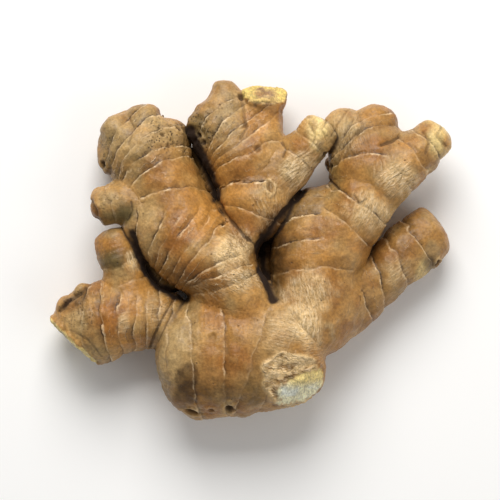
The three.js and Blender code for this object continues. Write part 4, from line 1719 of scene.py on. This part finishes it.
@dataclass(frozen=True)
class SkinFinish:
    """Thin papery ginger skin, drawn over moist flesh, in the colours that are painted on the mesh."""

    # pale is the papery scar edges' colour and also the colour of the painted glints and highlights.
    pale: Colour = (0.88, 0.67, 0.41)
    # dark is the near-black of pits, scar insides and cracks, and also of the painted shade in crevices and
    # grooves.
    dark: Colour = (0.028, 0.014, 0.007)
    roughness: float = 0.36

    def material(self) -> bpy.types.Material:
        """Builds the material."""
        finish = bpy.data.materials.new("ginger_skin")
        finish.use_nodes = True
        board = NodeBoard(finish.node_tree)
        shader = finish.node_tree.nodes["Principled BSDF"]
        place = board.node("ShaderNodeTexCoord").outputs["Object"]
        place = board.scaled(place, (1 / MM, 1 / MM, 1 / MM))
        grain = board.vector("grain")
        fibres = board.noise(board.scaled(grain, (0.22, 1.3, 1.0)), 1.0, 3.0, 0.6)
        threads = board.noise(board.scaled(grain, (0.26, 1.25, 1.0)), 1.0, 3.0, 0.6)
        board.feed(shader.inputs["Base Color"], self._colour(board, place, grain, fibres, threads))
        board.feed(shader.inputs["Roughness"], self._roughness(board, place))
        board.feed(shader.inputs["Normal"], self._bump(board, place, grain, fibres, threads))
        shader.inputs["IOR"].default_value = 1.4
        return finish

    def _colour(
        self,
        board: NodeBoard,
        place: bpy.types.NodeSocket,
        grain: bpy.types.NodeSocket,
        fibres: bpy.types.NodeSocket,
        threads: bpy.types.NodeSocket,
    ) -> bpy.types.NodeSocket:
        """The colour of the skin all over, with painted shade in crevices, grooves and cracks and painted
        glints and highlights on the skin.
        """
        crinkle = board.value("crinkle")
        flesh = board.value("flesh")
        own = board.value("own")
        colour = board.colour("tint")
        fine = board.graded(board.noise(place, 0.9, 4.0, 0.6), 0.3, 0.7, 0.80, 1.18)
        mottle = board.graded(board.noise(place, 0.22, 3.0, 0.55), 0.3, 0.7, 0.86, 1.14)
        colour = board.dimmed(colour, board.math("MULTIPLY", fine, mottle))
        strand = board.math("MULTIPLY", board.graded(fibres, 0.35, 0.7, -0.03, 0.04), own)
        colour = board.dimmed(colour, board.math("ADD", strand, 1.0))
        crackle = self._crackle(board, grain)
        # Painted glints: pale streaks along the raised threads of crinkled skin.
        painted_glint = board.math("MULTIPLY", board.graded(threads, 0.45, 0.62, 0.0, 0.75), crinkle)
        colour = board.mix(painted_glint, colour, self.pale)
        # Painted shade in the fine cracks and between the raised threads of crinkled skin.
        crack_and_wrinkle_shade = board.graded(crackle, 0.0, 0.25, -0.14, 0.06)
        crack_and_wrinkle_shade = board.math("ADD", crack_and_wrinkle_shade, board.graded(threads, 0.5, 0.36, 0.0, -0.2))
        crack_and_wrinkle_shade = board.math("MULTIPLY", crack_and_wrinkle_shade, crinkle)
        colour = board.dimmed(colour, board.math("ADD", crack_and_wrinkle_shade, 1.0))
        gap = board.math("MULTIPLY_ADD", board.noise(place, 0.9, 2.0), 0.8, board.value("ring_gap"))
        gap = board.math("SUBTRACT", gap, 0.4)
        force = board.math("MINIMUM", board.value("force"), 1.0)
        # The scars' pale edges on the raised ridge behind each scar: partly the papery edge's own paler
        # colour, partly painted highlight.
        edge = board.math("MULTIPLY", board.graded(gap, -1.0, -0.15), board.graded(gap, 0.08, -0.04))
        edge = board.math("MULTIPLY", edge, board.graded(board.noise(place, 0.3, 2.0), 0.38, 0.68, 0.05, 0.8))
        # Painted shade on the sunk band just ahead of each scar.
        step = board.math("MULTIPLY", board.graded(gap, -0.1, 0.4), board.graded(gap, 3.2, 0.5, 0.0, -0.3))
        step = board.math("MULTIPLY", step, force)
        colour = board.dimmed(colour, board.math("ADD", step, 1.0))
        colour = board.mix(board.math("MULTIPLY", edge, force), colour, self.pale)
        # Painted shade: a thin dark line in the groove just ahead of each scar.
        line = board.math("MULTIPLY", board.graded(gap, -0.1, 0.1), board.graded(gap, 0.95, 0.2))
        line = board.math("MULTIPLY", line, board.graded(board.noise(place, 0.27, 2.0), 0.3, 0.65, 0.1, 0.85))
        colour = board.mix(board.math("MULTIPLY", line, force), colour, self.dark)
        colour = board.mix(self._cracks_and_crevice_shade(board), colour, self.dark)
        colour = board.mix(self._pits(board, place), colour, self.dark)
        colour = board.mix(board.math("MULTIPLY", board.value("dark"), 0.92), colour, self.dark)
        strands = board.noise(board.scaled(place, (2.2, 0.7, 0.7)), 1.0, 3.0)
        strands = board.graded(strands, 0.35, 0.7, -0.25, 0.2)
        colour = board.dimmed(colour, board.math("MULTIPLY_ADD", strands, flesh, 1.0))
        # Painted shade: the crevices between the fingers are darkened almost to black.
        return board.mix(board.math("MULTIPLY", self._crevice_shade(board), 0.95), colour, self.dark)

    @staticmethod
    def _cracks_and_crevice_shade(board: NodeBoard) -> bpy.types.NodeSocket:
        """Where the skin is cracked or folded, as dark as it is there; along the crevices between fingers
        that darkness is painted shade.
        """
        near = board.graded(board.value("seam_gap"), 1.35, 0.35)
        return board.math("MULTIPLY", near, board.value("crack_dark_and_crevice_shade"))

    @staticmethod
    def _crevice_shade(board: NodeBoard) -> bpy.types.NodeSocket:
        """Where painted shade darkens the deep crevices between the fingers."""
        return board.graded(board.value("crease"), 0.25, 0.8)

    @staticmethod
    def _crackle(board: NodeBoard, grain: bpy.types.NodeSocket) -> bpy.types.NodeSocket:
        """How far the skin is from its fine cracks, which run along and across the finger."""
        bent = board.node("ShaderNodeVectorMath", {"operation": "ADD"})
        board.feed(bent.inputs[0], board.scaled(grain, (0.42, 0.95, 1.0)))
        wobble = board.node("ShaderNodeTexNoise", None, Vector=grain, Scale=0.5, Detail=2.0).outputs["Color"]
        board.feed(bent.inputs[1], wobble)
        return board.cells(bent.outputs[0], 1.0, "DISTANCE_TO_EDGE")

    @staticmethod
    def _pits(board: NodeBoard, place: bpy.types.NodeSocket) -> bpy.types.NodeSocket:
        """Where the skin is pitted dark: thickly where it is speckled, and here and there elsewhere."""
        many = board.graded(board.cells(place, 0.8), 0.36, 0.2)
        many = board.math("MULTIPLY", many, board.graded(board.noise(place, 0.3, 2.0), 0.3, 0.5))
        many = board.math("MULTIPLY", many, board.value("specks"))
        few = board.graded(board.cells(place, 0.14), 0.06, 0.03, 0.0, 0.55)
        return board.math("MAXIMUM", board.math("MULTIPLY", many, 0.85), few)

    def _roughness(self, board: NodeBoard, place: bpy.types.NodeSocket) -> bpy.types.NodeSocket:
        """How dull the skin is; crinkled skin shines more, flesh, the cracks and the painted-shade crevices
        less.
        """
        least, most = self.roughness - 0.06, self.roughness + 0.14
        rough = board.graded(board.noise(place, 0.35, 3.0), 0.3, 0.7, least, most)
        rough = board.math("MULTIPLY_ADD", board.value("crinkle"), -0.11, rough)
        rough = board.math("MULTIPLY_ADD", board.value("flesh"), 0.12, rough)
        rough = board.math("MULTIPLY_ADD", board.value("specks"), 0.15, rough)
        cracks_and_crevice_shade = board.math("MAXIMUM", self._cracks_and_crevice_shade(board), self._crevice_shade(board))
        return board.math("MULTIPLY_ADD", board.math("MAXIMUM", cracks_and_crevice_shade, board.value("dark")), 0.55, rough)

    def _bump(
        self,
        board: NodeBoard,
        place: bpy.types.NodeSocket,
        grain: bpy.types.NodeSocket,
        fibres: bpy.types.NodeSocket,
        threads: bpy.types.NodeSocket,
    ) -> bpy.types.NodeSocket:
        """The fine wrinkles of the skin."""
        wrinkles = board.graded(self._crackle(board, grain), 0.0, 0.3)
        crinkle = board.value("crinkle")
        height = board.math("MULTIPLY_ADD", fibres, 0.12, board.math("MULTIPLY", threads, 0.15))
        extra = board.math("MULTIPLY_ADD", wrinkles, 0.35, board.math("MULTIPLY", threads, 3.0))
        height = board.math("MULTIPLY_ADD", extra, crinkle, height)
        height = board.math("MULTIPLY", height, board.value("own"))
        height = board.math("ADD", height, board.math("MULTIPLY", board.noise(place, 0.8, 5.0, 0.6), 0.5))
        flesh = board.math("MULTIPLY", board.value("flesh"), 1.2)
        height = board.math("MULTIPLY_ADD", board.noise(place, 2.2, 3.0), flesh, height)
        height = board.math("SUBTRACT", height, board.math("MULTIPLY", self._pits(board, place), 0.8))
        bump = board.node("ShaderNodeBump", None, Strength=0.75, Distance=0.0007, Height=height)
        return bump.outputs["Normal"]


# ----------------------------------------------------------------------------------------------------
# The studio.
# ----------------------------------------------------------------------------------------------------


@dataclass
class Studio:
    """A pale floor, soft lights, and a camera straight above the root."""

    distance: float = 1.2
    view_width: float = 0.2
    look_at: tuple[float, float, float] = (0.0, 0.0, 0.02)

    def build(self) -> None:
        """Sets the floor, the lights and the camera."""
        self._floor()
        self._light("key", (-0.08, 0.80, 0.80), 0.75, 14.6, (1.0, 0.985, 0.96))
        self._light("fill", (0.9, -0.45, 0.8), 0.9, 3.6, (1.0, 0.98, 0.95))
        world = bpy.data.worlds.new("studio")
        bpy.context.scene.world = world
        world.use_nodes = True
        background = world.node_tree.nodes["Background"]
        background.inputs["Color"].default_value = (1.0, 1.0, 1.0, 1.0)
        background.inputs["Strength"].default_value = 0.27
        bpy.context.scene.view_settings.view_transform = "Standard"
        self._camera()

    @staticmethod
    def _floor() -> None:
        """Lays the floor just under the root."""
        bpy.ops.mesh.primitive_plane_add(size=6.0, location=(0.0, 0.0, -0.0002))
        floor = bpy.context.object
        floor.name = "floor"
        finish = bpy.data.materials.new("pale_floor")
        finish.use_nodes = True
        shader = finish.node_tree.nodes["Principled BSDF"]
        shader.inputs["Base Color"].default_value = (0.96, 0.96, 0.955, 1.0)
        shader.inputs["Roughness"].default_value = 0.9
        floor.data.materials.append(finish)

    def _light(
        self,
        name: str,
        place: tuple[float, float, float],
        size: float,
        power: float,
        colour: tuple[float, float, float],
    ) -> None:
        """Hangs a square soft light that faces the root."""
        bpy.ops.object.light_add(type="AREA", location=place)
        light = bpy.context.object
        light.name = name
        light.data.size = size
        light.data.energy = power
        light.data.color = colour
        towards = Vector(self.look_at) - Vector(place)
        light.rotation_euler = towards.to_track_quat("-Z", "Y").to_euler()

    def _camera(self) -> None:
        """Hangs the camera above the root, looking straight down."""
        across, up, height = self.look_at
        bpy.ops.object.camera_add(location=(across, up, height + self.distance))
        camera = bpy.context.object
        camera.rotation_euler = (0.0, 0.0, 0.0)
        camera.data.sensor_width = 36.0
        camera.data.lens = 36.0 * self.distance / self.view_width
        camera.data.clip_end = 20.0
        bpy.context.scene.camera = camera


def main() -> None:
    """Builds the root, dresses it and sets the studio round it."""
    logging.basicConfig(level=logging.INFO, format="%(message)s")
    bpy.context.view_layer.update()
    bpy.ops.object.select_all(action="DESELECT")
    root = RootBody().build()
    root.data.materials.clear()
    root.data.materials.append(SkinFinish().material())
    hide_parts(NODE)
    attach(root, "root")
    Studio().build()
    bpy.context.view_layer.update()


if __name__ == "__main__":
    main()
